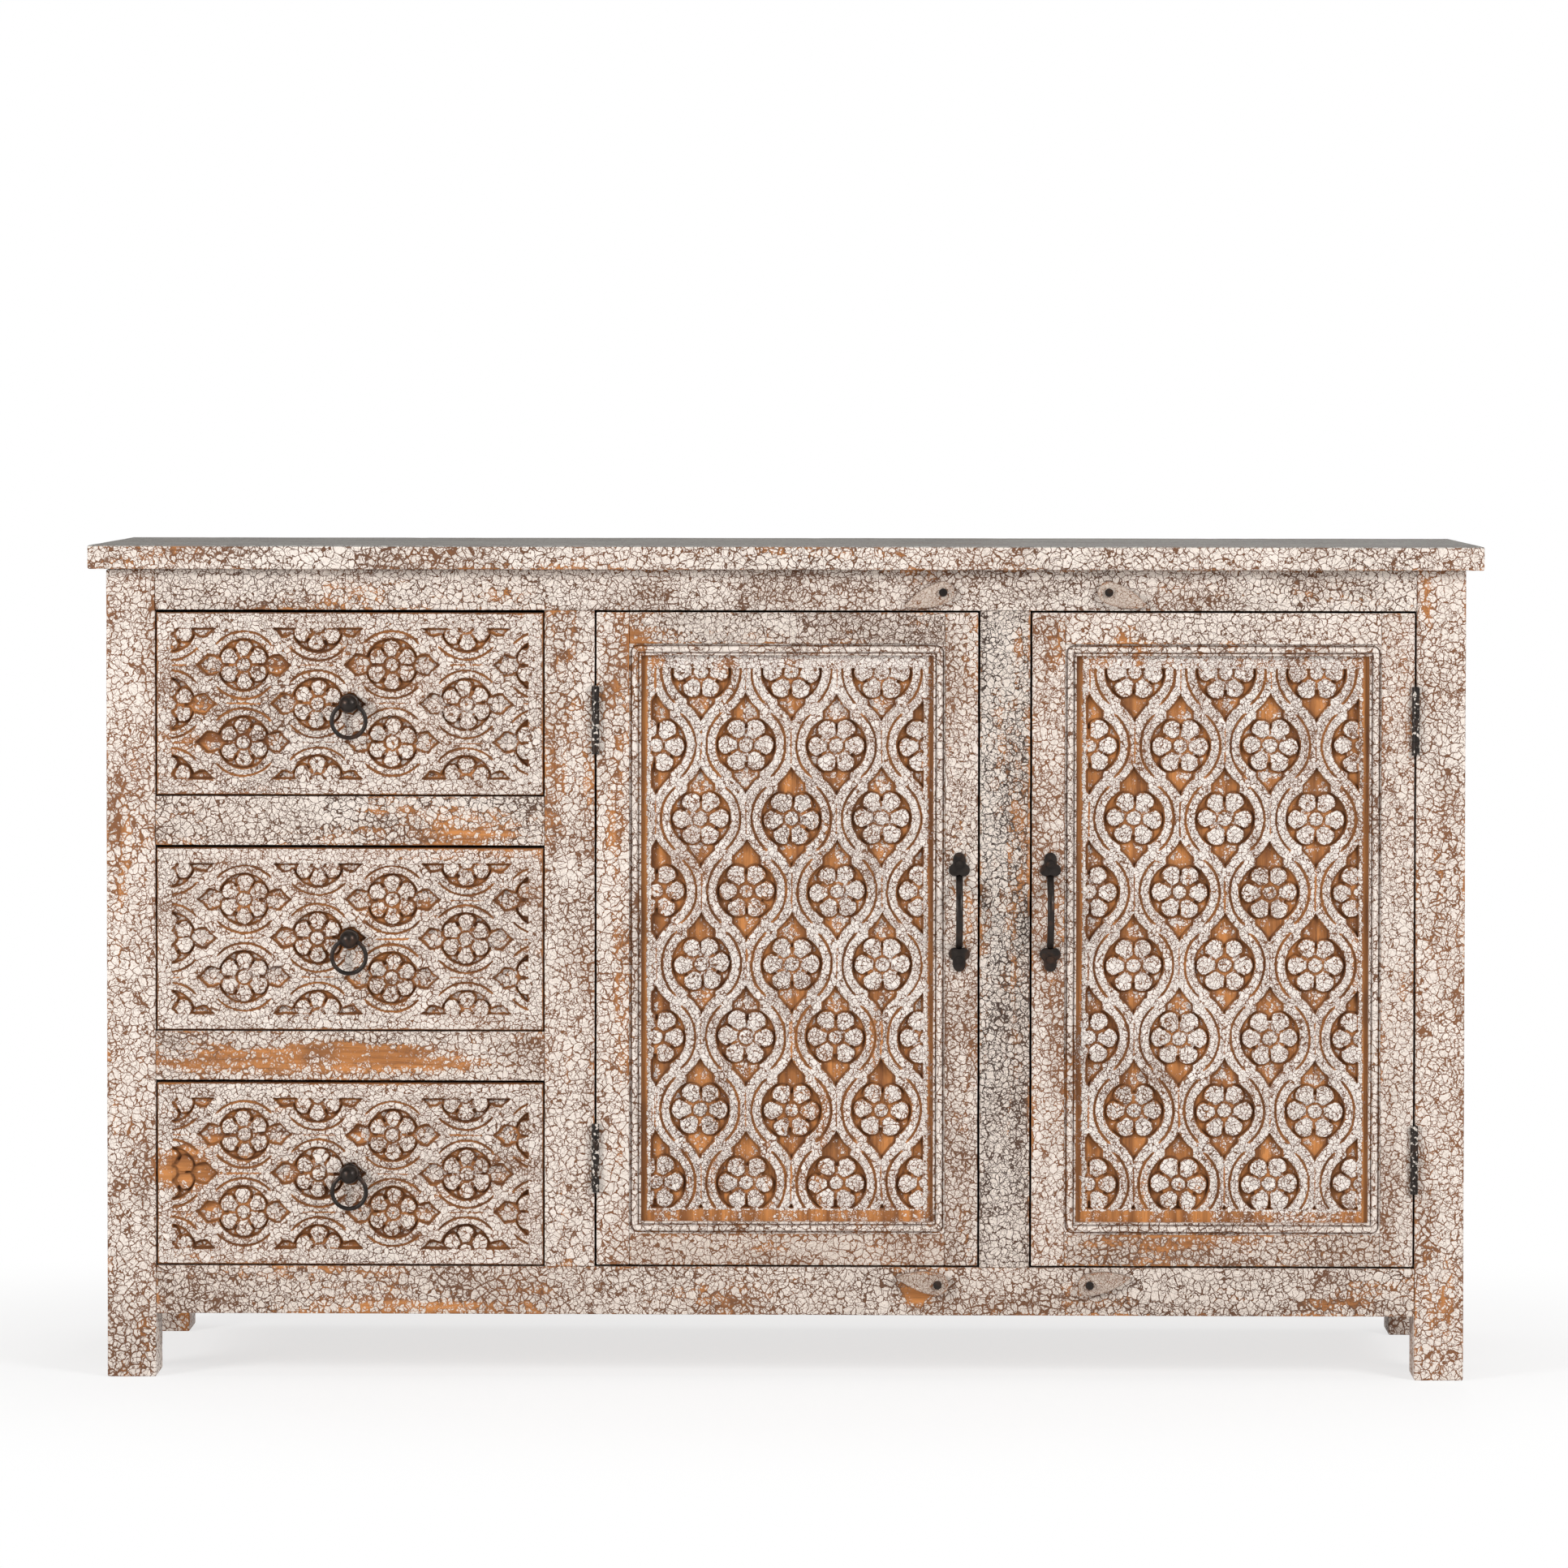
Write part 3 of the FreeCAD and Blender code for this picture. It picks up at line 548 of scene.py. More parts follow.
def flower_depth(da, dl, p, rng, floor):
    """Depth below the face of one flower at offsets from its centre."""
    r = np.hypot(da, dl)
    core = smoothstep(0, -2.0, r - p.petal_at)
    best = floor * (1 - core) + PETAL_FOOT * core
    turn = rng.normal(0, 2.0)
    for k in range(PETALS):
        phi = radians(turn + k * 360 / PETALS + rng.normal(0, 1.5))
        size = 1 + rng.normal(0, 0.03)
        s = da * cos(phi) + dl * sin(phi)
        t = -da * sin(phi) + dl * cos(phi)
        long, wide = p.petal_long * size, p.petal_wide * size
        oval = (np.hypot((s - p.petal_at) / long, t / wide) - 1) * wide
        wedge = np.abs(t) * cos(pi / PETALS) - s * sin(pi / PETALS) + PETAL_GAP
        outside = np.maximum(np.maximum(oval, wedge), p.button + BUTTON_GAP - r)
        crown = 0.8 + rng.uniform(0, 0.5) + 0.7 * (t / wide) ** 2 + 0.9 * ((s - p.petal_at) / long) ** 2
        rise = smoothstep(0, -PETAL_WALL, outside)
        best = np.minimum(best, best * (1 - rise) + crown * rise)
    dome = 0.5 + 1.3 * (r / p.button) ** 2 + 1.4 * np.exp(-(r / 1.4) ** 2)
    rise = smoothstep(0, -BUTTON_WALL, r - p.button)
    return np.minimum(best, best * (1 - rise) + dome * rise)


def carved_depth(across, along, p, origin, field, seed):
    """Depth in millimetres of the carving on a grid, and how far each point is in a groove.

    origin is one flower's centre and field the carved rectangle.
    """
    rng = np.random.default_rng(seed)
    points = np.stack([across, along, np.full(across.shape, 0.5)], -1)
    a = across + STRAY * smooth_noise(points, STRAY_CELL, seed)
    l = along + STRAY * smooth_noise(points, STRAY_CELL, seed + 1)
    floor = CARVE_DEPTH + ROUGH * smooth_noise(points, ROUGH_CELL, seed + 2)
    ground = np.full(across.shape, 99.0)
    relief = floor.copy()
    cuts = np.zeros(across.shape)
    bands = np.zeros(across.shape)
    reach_a, reach_l = p.half_across * 1.35, p.half_along * 0.9
    (a0, a1), (l0, l1) = field
    centres = [(origin[0] + i * p.half_across, origin[1] + j * p.half_along)
               for i in REPEATS for j in REPEATS if (i + j) % 2 == 0]
    for ca, cl in centres:
        near = (np.abs(across - ca) < reach_a) & (np.abs(along - cl) < reach_l)
        if not near.any():
            continue
        rows, cols = np.nonzero(near)
        view = np.s_[rows.min():rows.max() + 1, cols.min():cols.max() + 1]
        da = a[view] - ca - rng.normal(0, FLOWER_STRAY)
        dl = l[view] - cl - rng.normal(0, FLOWER_STRAY)
        r = np.hypot(da, dl)
        shifted = np.abs(dl - p.neck_shift)
        neighbour = np.hypot(np.abs(da) - p.half_across, shifted - p.half_along)
        width = p.neck - p.pinch * np.clip((NECK_WIDEST - shifted) / 10, 0, 1.5) ** 2
        neck = np.max([np.abs(da) - width, p.ring - neighbour, shifted - p.half_along], axis=0)
        ground[view] = np.minimum(ground[view], np.minimum(r - p.disc, neck))
        relief[view] = np.minimum(relief[view], flower_depth(da, dl, p, rng, floor[view]))
        groove = np.abs(np.hypot(np.abs(da) + p.groove_shift, dl) - p.groove)
        angle = np.degrees(np.arctan2(np.abs(dl), np.abs(da)))
        fade = smoothstep(GROOVE_HALF_ANGLE, GROOVE_HALF_ANGLE - GROOVE_FADE, angle)
        cut = GROOVE_DEPTH * smoothstep(p.groove_half, 0.3 * p.groove_half, groove)
        shoulder = BAND_ROUND * smoothstep(BAND_SHOULDER, p.groove_half, groove)
        bands[view] = np.maximum(bands[view], fade * shoulder)
        cuts[view] = np.maximum(cuts[view], fade * cut)
        seam = smoothstep(0.9, 0.2, np.abs(np.abs(da) - p.half_across))
        seam *= smoothstep(p.half_along * 0.26, p.half_along * 0.2, np.abs(dl))
        cuts[view] = np.maximum(cuts[view], SEAM_DEPTH * seam)
    wall = smoothstep(0.5, -1.8, ground)
    bands = np.maximum(bands, BAND_ROUND * smoothstep(BAND_SHOULDER, 0.0, ground))
    depth = np.maximum(wall * relief, (1 - wall) * (cuts + bands))
    inside = np.maximum(np.maximum(a0 - across, across - a1), np.maximum(l0 - along, along - l1))
    kept = smoothstep(0.4, -1.0, inside)
    return depth * kept, cuts / GROOVE_DEPTH * (1 - wall) * kept


def blurred(grid, reach):
    """A box blur of a grid, reach cells each way."""
    for axis in (0, 1):
        padded = np.pad(grid, [(reach + 1, reach) if k == axis else (0, 0) for k in (0, 1)], mode="edge")
        sums = np.cumsum(padded, axis)
        width = 2 * reach + 1
        grid = (np.take(sums, range(width, sums.shape[axis]), axis)
                - np.take(sums, range(sums.shape[axis] - width), axis)) / width
    return grid


def relief_mesh(xs, zs, front, back, depth):
    """A closed slab whose front face is pushed in by depth, in metres; its sides and back are plain."""
    nx, nz = len(xs), len(zs)
    gx, gz = np.meshgrid(xs, zs, indexing="ij")
    verts = np.stack([gx, front + depth, gz], -1).reshape(-1, 3)
    grid = np.arange(nx * nz).reshape(nx, nz)
    corner = grid[:-1, :-1].ravel()
    quads = np.stack([corner, corner + nz, corner + nz + 1, corner + 1], 1)
    ring = np.concatenate([grid[:, 0], grid[-1, 1:], grid[-2::-1, -1], grid[0, -2:0:-1]]).tolist()
    count = len(verts)
    rim = verts[ring].copy()
    rim[:, 1] = back
    middle = np.array([[xs.mean(), back, zs.mean()]])
    faces = quads.tolist()
    for k in range(len(ring)):
        n = (k + 1) % len(ring)
        faces.append([ring[n], ring[k], count + k, count + n])
        faces.append([count + n, count + k, count + len(ring)])
    return np.concatenate([verts, rim, middle]), faces, len(quads)


# Wear, more wear on the ground, crack colour, flakes per metre and paleness of the carved boards
DRAWER_FINISH = (0.19, -0.14, 0.68, 160.0, 0.1)
PANEL_FINISH = (0.2, 0.14, 0.7, 200.0, 0.5)
CARVED_FINE = -0.04
CARVED_BOLD = 0.18  # how much wider the cracks are than on plain boards
STEEPEST = 1.5
BLUR_REACH = 2  # in grid steps, to tell ridges from hollows
RIDGE_HEIGHT, RIDGE_WEAR = 1.2, 0.06
HOLLOW_DEPTH, HOLLOW_WEAR = 0.9, 0.46
GROOVE_WEAR = 0.46
# How far the carving dips below its surroundings for full painted shade, and how much of the faintest
# painted shade is left out
SHADE_DEPTH, SHADE_LEFT_OUT = 1.6, 0.15


def carved_piece(name, node, body, xs, zs, front, back, carving, edge, along, seed, finish):
    """A carved board from a grid of depths, with the marks that the paint wears by and painted shade in its
    hollows.
    """
    depth_mm, groove, worn_more, margin_shade = carving
    wear, ground_wear, tint, crackle, pale = finish
    verts, faces, front_faces = relief_mesh(xs, zs, front, back, depth_mm * MM)
    gx, gz = np.gradient(depth_mm, (xs[1] - xs[0]) / MM, (zs[1] - zs[0]) / MM)
    slope = np.clip(np.hypot(gx, gz) / STEEPEST, 0, 1)
    dip = depth_mm - blurred(depth_mm, BLUR_REACH)
    ridge, hollow = np.clip(-dip / RIDGE_HEIGHT, 0, 1), np.clip(dip / HOLLOW_DEPTH, 0, 1)
    floor = smoothstep(0.45, 0.8, depth_mm / CARVE_DEPTH)
    # Painted shade where the carving dips below its surroundings, and on the panel by the moulding
    grime = np.clip(dip / SHADE_DEPTH - SHADE_LEFT_OUT, 0, 1) + margin_shade
    more = RIDGE_WEAR * ridge + HOLLOW_WEAR * hollow + GROOVE_WEAR * groove + ground_wear * floor + worn_more

    def padded(values, fill=0.0):
        """Values of the carved face, then one for all of the sides and back."""
        return np.concatenate([values.ravel(), np.full(len(verts) - values.size, fill)])
    marks = {"board": board_place(verts, along, seed), "edge": padded(edge, FAR_FROM_EDGE),
             "wear": worn(verts, wear) + padded(more), "depth": padded(depth_mm / CARVE_DEPTH),
             "slope": padded(slope), "grime": padded(grime), "tint": tint, "crackle": crackle,
             "fine": CARVED_FINE, "bold": CARVED_BOLD, "pale": pale}
    piece(name, verts, faces, PAINT, body, [node], marks, front_faces)


def carve_lines(low, high):
    return np.linspace(low, high, int(round((high - low) / CARVE_STEP)) + 1)


# Millimetres from the middle of a drawer front or a door panel
DRAWER_FLOWER = (0.0, -34.6)
DRAWER_MARGIN = (16.0, 16.5)
DRAWER_EDGE = 2.2
PANEL_FLOWER = {"left": (4.4, -28.0), "right": (3.0, -28.0)}
PANEL_FIELD = ((-147.0, 147.0), (-292.0, 292.0))
BEHIND_MOULDING = 4 * MM


def make_drawer_fronts():
    """Carved drawer fronts; the flowers sit where the photograph has them beside the ring pull."""
    for number, name in enumerate(DRAWERS):
        node = name + "_drawer_front"
        low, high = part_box(node)
        xs, zs = carve_lines(low.x, high.x), carve_lines(low.z, high.z)
        gx, gz = np.meshgrid(xs, zs, indexing="ij")
        along = (gx - (low.x + high.x) / 2) / MM
        across = (gz - (low.z + high.z) / 2) / MM
        half_l = (high.x - low.x) / 2 / MM - DRAWER_MARGIN[0]
        half_a = (high.z - low.z) / 2 / MM - DRAWER_MARGIN[1]
        seed = DRAWER_SEED + number
        depth, groove = carved_depth(across, along, DRAWER_PATTERN, DRAWER_FLOWER,
                                     ((-half_a, half_a), (-half_l, half_l)), seed)
        edge = np.minimum(np.minimum(gx - low.x, high.x - gx), np.minimum(gz - low.z, high.z - gz))
        depth = np.maximum(depth, DRAWER_EDGE * (1 - np.clip(edge / (DRAWER_EDGE * MM), 0, 1)) ** 2)
        carving = (depth, groove, 0.0, 0.0)
        carved_piece(name + "_carved_front", node, name + "_drawer", xs, zs, low.y, high.y, carving, edge, 0,
                     seed, DRAWER_FINISH)


def panel_margin(across, along):
    """Extra wear between the carved field and the moulding, most at the sides and least at the top, and
    painted shade at the sides next to the moulding.
    """
    side, end = np.abs(across) - PANEL_FIELD[0][1], np.abs(along) - PANEL_FIELD[1][1]
    at_side = 0.6 * smoothstep(2.0, 6.5, side)
    at_end = smoothstep(0.5, 3.0, end) * np.where(along > 0, 0.14, 0.4)
    # Second value: painted shade on the panel next to the moulding's wall at the sides
    return np.maximum(at_side, at_end), 0.7 * smoothstep(4.0, 8.0, side)


def make_door_panels():
    """Each door's carved panel, glued up from two planks."""
    for number, door in enumerate(DOORS):
        node = door + "_door_panel"
        low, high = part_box(node)
        x0, x1 = low.x + PANEL_GROOVE - BEHIND_MOULDING, high.x - PANEL_GROOVE + BEHIND_MOULDING
        z0, z1 = low.z + PANEL_GROOVE - BEHIND_MOULDING, high.z - PANEL_GROOVE + BEHIND_MOULDING
        middle = ((x0 + x1) / 2, (z0 + z1) / 2)
        zs = carve_lines(z0, z1)
        seed = PANEL_SEED + number
        for plank, (start, end) in enumerate(((x0, middle[0]), (middle[0], x1))):
            xs = carve_lines(start, end)
            gx, gz = np.meshgrid(xs, zs, indexing="ij")
            across, along = (gx - middle[0]) / MM, (gz - middle[1]) / MM
            carving = carved_depth(across, along, DOOR_PATTERN, PANEL_FLOWER[door], PANEL_FIELD, seed)
            carving += panel_margin(across, along)
            edge = np.full(gx.shape, FAR_FROM_EDGE)
            carved_piece("%s_carved_plank_%d" % (door, plank + 1), node, door + "_door", xs, zs, low.y,
                         high.y, carving, edge, 2, seed, PANEL_FINISH)


# Door frames: boards with a bead moulding worked round the opening. The profile runs from the opening
# outward: offset and depth in millimetres, how much painted shade it gets in its quirks, and whether its
# corners are rounded.
MOULDING_WIDTH = 12.4
MOULDING_PROFILE = ((0.0, 25.8, 0.0, 0), (0.0, 3.6, 0.3, 0), (0.5, 3.0, 0.1, 0), (1.9, 2.9, 0.1, 1),
                    (2.2, 3.9, 1.0, 1), (2.9, 4.0, 1.0, 1), (3.3, 2.4, 0.7, 1), (4.1, 1.2, 0.2, 1),
                    (5.4, 0.5, 0.0, 1), (6.9, 0.3, 0.0, 1), (8.4, 0.5, 0.0, 1), (9.5, 1.2, 0.2, 1),
                    (10.0, 2.3, 0.8, 1), (10.4, 2.9, 1.0, 1), (11.2, 2.9, 1.0, 1), (11.5, 0.9, 0.4, 1),
                    (12.4, 0.15, 0.0, 1), (12.4, 0.15, 0.0, 0), (12.4, 25.8, 0.0, 0))
MOULDING_CORNER = 10.0
SHARP_CORNER = 0.05
GROUND_DEPTH = 12.0  # the depth that wears like carved ground
CORNER_STEPS = 7
SIDE_STEPS = 40


def moulding_loop(opening, offset, depth, is_round):
    """Points round an opening at an offset from it, with corners that round out towards the outside."""
    (x0, z0), (x1, z1) = opening
    share = offset / MOULDING_WIDTH if is_round else 0.0
    radius = (MOULDING_CORNER * share ** 2 + SHARP_CORNER) * MM
    grow = offset * MM - radius
    ends = ((x1, z0, 1, -1, 270), (x1, z1, 1, 1, 0), (x0, z1, -1, 1, 90), (x0, z0, -1, -1, 180))
    corners = []
    for x, z, sx, sz, start in ends:
        for k in range(CORNER_STEPS):
            angle = radians(start + 90 * k / (CORNER_STEPS - 1))
            corners.append((x + sx * grow + radius * cos(angle),
                            z + sz * grow + radius * sin(angle)))
    points = []
    for k, (x, z) in enumerate(corners):
        nx, nz = corners[(k + 1) % len(corners)]
        parts = SIDE_STEPS if k % CORNER_STEPS == CORNER_STEPS - 1 else 1
        for s in range(parts):
            points.append((x + (nx - x) * s / parts, FACE + depth * MM, z + (nz - z) * s / parts))
    return points


def make_moulding(door, opening, seed):
    """The bead worked round a door's opening, a closed ring."""
    rows = [moulding_loop(opening, offset, depth, is_round)
            for offset, depth, _, is_round in MOULDING_PROFILE]
    turns = len(rows[0])
    verts = np.array(rows).reshape(-1, 3)
    faces = ring_quads(len(rows), turns, closed=True)
    # Painted shade in the quirks; it also wears the paint there and, through the slope mark, darkens the
    # wood
    depth, grime = np.repeat(np.array(MOULDING_PROFILE)[:, 1:3], turns, axis=0).T
    marks = {"board": board_place(verts, 2, seed), "edge": FAR_FROM_EDGE,
             "wear": worn(verts, 0.2) + 0.22 * grime, "depth": np.clip(depth / GROUND_DEPTH, 0, 1),
             "slope": 0.4 * grime, "grime": grime, "tint": BOARD_TINT, "crackle": BOARD_CRACKLE}
    piece(door + "_door_moulding", verts, faces, PAINT, door + "_door", (), marks)


# Crack colour, flakes per metre, fineness and stain of each board of the doors
DOOR_FINISH = {"left": {"hinge_stile": (0.8, 102, 0.02, 0.0), "closing_stile": (0.55, 130, 0.05, 0.05),
                        "upper": (0.34, 150, 0.06, 0.06), "lower": (0.85, 115, 0.05, 0.27)},
               "right": {"hinge_stile": (0.85, 128, 0.03, 0.03), "closing_stile": (0.85, 118, 0.06, 0.02),
                         "upper": (0.6, 110, 0.0, 0.0), "lower": (0.6, 118, 0.08, 0.2)}}


def make_door_frames():
    """Stiles and rails of the doors as far as the moulding, and the moulding itself."""
    for number, door in enumerate(DOORS):
        body = door + "_door"
        finish = DOOR_FINISH[door]
        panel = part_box(door + "_door_panel")
        x0, x1 = panel[0].x + PANEL_GROOVE, panel[1].x - PANEL_GROOVE
        z0, z1 = panel[0].z + PANEL_GROOVE, panel[1].z - PANEL_GROOVE
        out = MOULDING_WIDTH * MM
        seed = DOOR_SEED + 10 * number
        for part in ("hinge_stile", "closing_stile"):
            node = "%s_door_%s" % (door, part)
            low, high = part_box(node)
            ends = (low.x, x0 - out) if low.x < x0 else (x1 + out, high.x)
            make_board(node, body, *between(node, 0, *ends), 2, seed, BOARD_WEAR, *finish[part])
            seed += 1
        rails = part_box(door + "_door_rails")
        spans = {"lower": (rails[0].z, z0 - out), "upper": (z1 + out, rails[1].z)}
        for place, (low_z, high_z) in spans.items():
            low, high = [x0 - out, rails[0].y, low_z], [x1 + out, rails[1].y, high_z]
            make_board(door + "_door_rails", body, low, high, 0, seed, BOARD_WEAR, *finish[place],
                       name="%s_door_%s_rail" % (door, place))
            seed += 1
        make_moulding(door, ((x0, z0), (x1, z1)), seed)


# Small shaped pieces: plates with rounded edges, seen from the front as an outline in x and z
EDGE_TURNS = (0, 20, 40, 60, 80, 90)
INNER_RINGS = (0.35, 0.7)


def rounded_plate(outline, middle, back, thick, radius):
    """A closed plate over an outline that runs anticlockwise from the front. Returns vertices, faces and the
    distance of each vertex from the outline."""
    outline = np.asarray(outline)
    inward = np.asarray(middle) - outline
    reach = np.linalg.norm(inward, axis=1)
    angles = [radians(turn) for turn in EDGE_TURNS]
    insets = [0.0] + [radius * (1 - cos(angle)) for angle in angles]
    heights = [0.0] + [thick - radius + radius * sin(angle) for angle in angles]
    rings = [outline + inward * (inset / reach)[:, None] for inset in insets]
    last = rings[-1]
    for share in INNER_RINGS:
        rings.append(last + (np.asarray(middle) - last) * share)
        heights.append(thick)
    count = len(outline)
    layers = [np.column_stack([ring[:, 0], np.full(count, back - height), ring[:, 1]])
              for ring, height in zip(rings, heights)]
    ends = np.array([[middle[0], back - thick, middle[1]], [middle[0], back, middle[1]]])
    verts = np.concatenate(layers + [ends])
    faces = ring_quads(len(rings), count)
    top = (len(rings) - 1) * count
    for k in range(count):
        n = (k + 1) % count
        faces.append([top + k, top + n, len(verts) - 2])
        faces.append([n, k, len(verts) - 1])
    inset = [np.linalg.norm(ring - outline, axis=1) for ring in rings] + [np.full(2, reach.min())]
    return verts, faces, np.concatenate(inset)


# Iron door handles: two clover plates and a bowed bar. Millimetres, from the handle's end or from the screw.
CLOVER_POINTS = 96
CLOVER_DISCS = ((0.0, 6.2, 6.7), (4.7, -6.2, 6.8), (-4.7, -6.2, 6.8))  # across, towards the end, radius
CLOVER_CORE = (7.0, 6.3)  # half-width and half-height of the block behind the screw
CLOVER_FILLET = 0.3
SCREW_FROM_END = 13.0
PLATE_THICK = 3.5
PLATE_ROUND = 0.9
BAR_OUTER = (40.0, 30.0)  # half-length and reach of the bow's outer arc
BAR_INNER = (31.0, 24.0)
BAR_HALF_WIDTH = 3.75
BAR_FLARE = 0.25  # how much wider the bar is at its ends
BAR_FILL = 0.97  # how much of the room between the arcs it fills
BAR_ROUNDNESS = 0.75  # 1 is an oval section, less is squarer
BAR_STEPS = 56
BAR_SIDES = 18


def clover_outline():
    """The plate's outline round its screw, its joints smoothed as by a file."""
    angles = np.linspace(0, 2 * pi, CLOVER_POINTS, endpoint=False)
    ray = np.column_stack([np.cos(angles), np.sin(angles)])
    reach = (np.array(CLOVER_CORE) / np.maximum(np.abs(ray), 0.01)).min(axis=1)
    for across, towards, radius in CLOVER_DISCS:
        along = ray @ np.array([across, towards])
        inside = along ** 2 - (across ** 2 + towards ** 2 - radius ** 2)
        far = along + np.sqrt(np.maximum(inside, 0))
        reach = np.where((inside > 0) & (far > 0), np.maximum(reach, far), reach)
    smooth = sum(np.roll(reach, shift) for shift in (2, 1, 0, -1, -2)) / 5
    return ray * np.minimum(smooth, reach + CLOVER_FILLET)[:, None]


def arc_point(half_length, reach, share):
    """A point on the arc that leaves the door at both ends: along the handle and out from the door."""
    radius = (half_length ** 2 + reach ** 2) / (2 * reach)
    angle = share * asin(half_length / radius)
    return np.array([radius * sin(angle), reach - radius + radius * cos(angle)])


def bowed_bar(x, z):
    """The handle's grip: a rounded bar between the two arcs."""
    verts = []
    for share in np.linspace(-1, 1, BAR_STEPS):
        outer, inner = arc_point(*BAR_OUTER, share), arc_point(*BAR_INNER, share)
        middle, half = (outer + inner) / 2, (outer - inner) / 2 * BAR_FILL
        wide = BAR_HALF_WIDTH + BAR_FLARE * share ** 4
        for k in range(BAR_SIDES):
            c, t = cos(2 * pi * k / BAR_SIDES), sin(2 * pi * k / BAR_SIDES)
            across = copysign(abs(c) ** BAR_ROUNDNESS, c) * wide
            along, out = middle + half * copysign(abs(t) ** BAR_ROUNDNESS, t)
            verts.append((x + across * MM, FACE - out * MM, z + along * MM))
    faces = ring_quads(BAR_STEPS, BAR_SIDES, inward=True)
    faces.append(list(range(BAR_SIDES)))
    faces.append(list(range(len(verts) - 1, len(verts) - 1 - BAR_SIDES, -1)))
    return np.array(verts), faces


def make_handles():
    """Each door's iron handle."""
    for door in DOORS:
        node = door + "_door_handle"
        low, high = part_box(node)
        x, z = (low.x + high.x) / 2, (low.z + high.z) / 2
        verts, faces = bowed_bar(x, z)
        for end in (1, -1):
            screw = (x, z + end * ((high.z - low.z) / 2 - SCREW_FROM_END * MM))
            outline = clover_outline() * MM * end + screw
            plate, quads, _ = rounded_plate(outline, screw, FACE, PLATE_THICK * MM, PLATE_ROUND * MM)
            faces += [[index + len(verts) for index in face] for face in quads]
            verts = np.concatenate([verts, plate])
        piece(door + "_iron_handle", verts, faces, IRON, door + "_door", [node])


# Ring pulls: a ball on a rosette, and a ring through the ball. Millimetres out from the drawer's face.
BALL_OUT = 14.0
BALL_RADIUS = 10.0
EYE_BELOW_TOP = 2.0  # from the top of the ring to the eye in the ball
WIRE_RADIUS = 2.3
ROSETTE = ((0.0, 0.0), (9.6, 0.0), (10.0, 0.5), (10.0, 1.8), (9.2, 2.6), (7.6, 3.0), (6.6, 3.3), (6.2, 4.6))
BALL_FROM, BALL_TO = 38.0, 179.5  # degrees from the ball's back, where the stem meets it, to its front
BALL_STEPS = 22
AXIS_RADIUS = 0.02
TURNS = 48
WIRE_SIDES = 16


def turned(profile, x, z):
    """A shape turned about an axis that points out of the front, from radius and reach in millimetres."""
    verts = []
    for radius, out in profile:
        for k in range(TURNS):
            angle = 2 * pi * k / TURNS
            across, up = radius * MM * cos(angle), radius * MM * sin(angle)
            verts.append((x + across, FACE - out * MM, z + up))
    faces = ring_quads(len(profile), TURNS)
    faces.append(list(range(TURNS - 1, -1, -1)))
    faces.append(list(range(len(verts) - TURNS, len(verts))))
    return np.array(verts), faces


def wire_ring(x, y, z, radius):
    """A ring of round wire that hangs flat against the front."""
    verts = []
    for i in range(2 * TURNS):
        a = pi * i / TURNS
        for k in range(WIRE_SIDES):
            b = 2 * pi * k / WIRE_SIDES
            reach = radius + WIRE_RADIUS * MM * cos(b)
            out = WIRE_RADIUS * MM * sin(b)
            verts.append((x + reach * cos(a), y + out, z + reach * sin(a)))
    return verts, ring_quads(2 * TURNS, WIRE_SIDES, closed=True)


def make_ring_pulls():
    """Each drawer's ball, which rides on the drawer, and its ring, which swings."""
    angles = np.radians(np.linspace(BALL_FROM, BALL_TO, BALL_STEPS))
    ball = [(BALL_RADIUS * sin(a), BALL_OUT - BALL_RADIUS * cos(a)) for a in angles]
    profile = [(max(radius, AXIS_RADIUS), out) for radius, out in ROSETTE] + ball
    for name in DRAWERS:
        low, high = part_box(name + "_pull_ring")
        x, eye_z = (low.x + high.x) / 2, high.z - EYE_BELOW_TOP * MM
        verts, faces = turned(profile, x, eye_z)
        piece(name + "_ball_pull", verts, faces, IRON, name + "_drawer", [name + "_pull_stud"])
        radius = (high.z - low.z) / 2 - WIRE_RADIUS * MM
        verts, faces = wire_ring(x, FACE - BALL_OUT * MM, (low.z + high.z) / 2, radius)
        piece(name + "_iron_ring", verts, faces, IRON, name + "_ring", [name + "_pull_ring"])


# Wooden turn latches: a round head on the screw and a leaf to a point. Millimetres.
LATCH_HEAD = 12.0
LATCH_LENGTH = 45.5
LATCH_WAIST = (25.9, 8.8)
LATCH_THICK = 9.0
LATCH_ROUND = 2.5
LATCH_MIDDLE = 12.0  # from the screw to the leaf's middle
LATCH_OFF_RAIL = 0.5
HEAD_POINTS, SIDE_POINTS = 25, 18
# The screw's x and z in metres, and the way that the leaf points, in degrees
LATCHES = {"left_top_latch": (0.17, 0.85, 200), "right_top_latch": (0.348, 0.85, -20),
           "left_bottom_latch": (0.165, 0.1035, 170), "right_bottom_latch": (0.329, 0.1035, 10)}


def latch_outline():
    """The leaf, anticlockwise, its head round the origin and its point along x."""
    angles = np.linspace(pi / 2, 3 * pi / 2, HEAD_POINTS)
    head = [(LATCH_HEAD * cos(a), LATCH_HEAD * sin(a)) for a in angles]
    share = LATCH_WAIST[0] / LATCH_LENGTH
    bend = (LATCH_WAIST[1] - LATCH_HEAD * (1 - share)) / (share * (1 - share))
    side = [(LATCH_LENGTH * t, -(LATCH_HEAD * (1 - t) + bend * t * (1 - t)))
            for t in np.linspace(0, 1, SIDE_POINTS)[1:]]
    back = [(x, -y) for x, y in side[-2::-1]]
    return np.array(head + side + back)


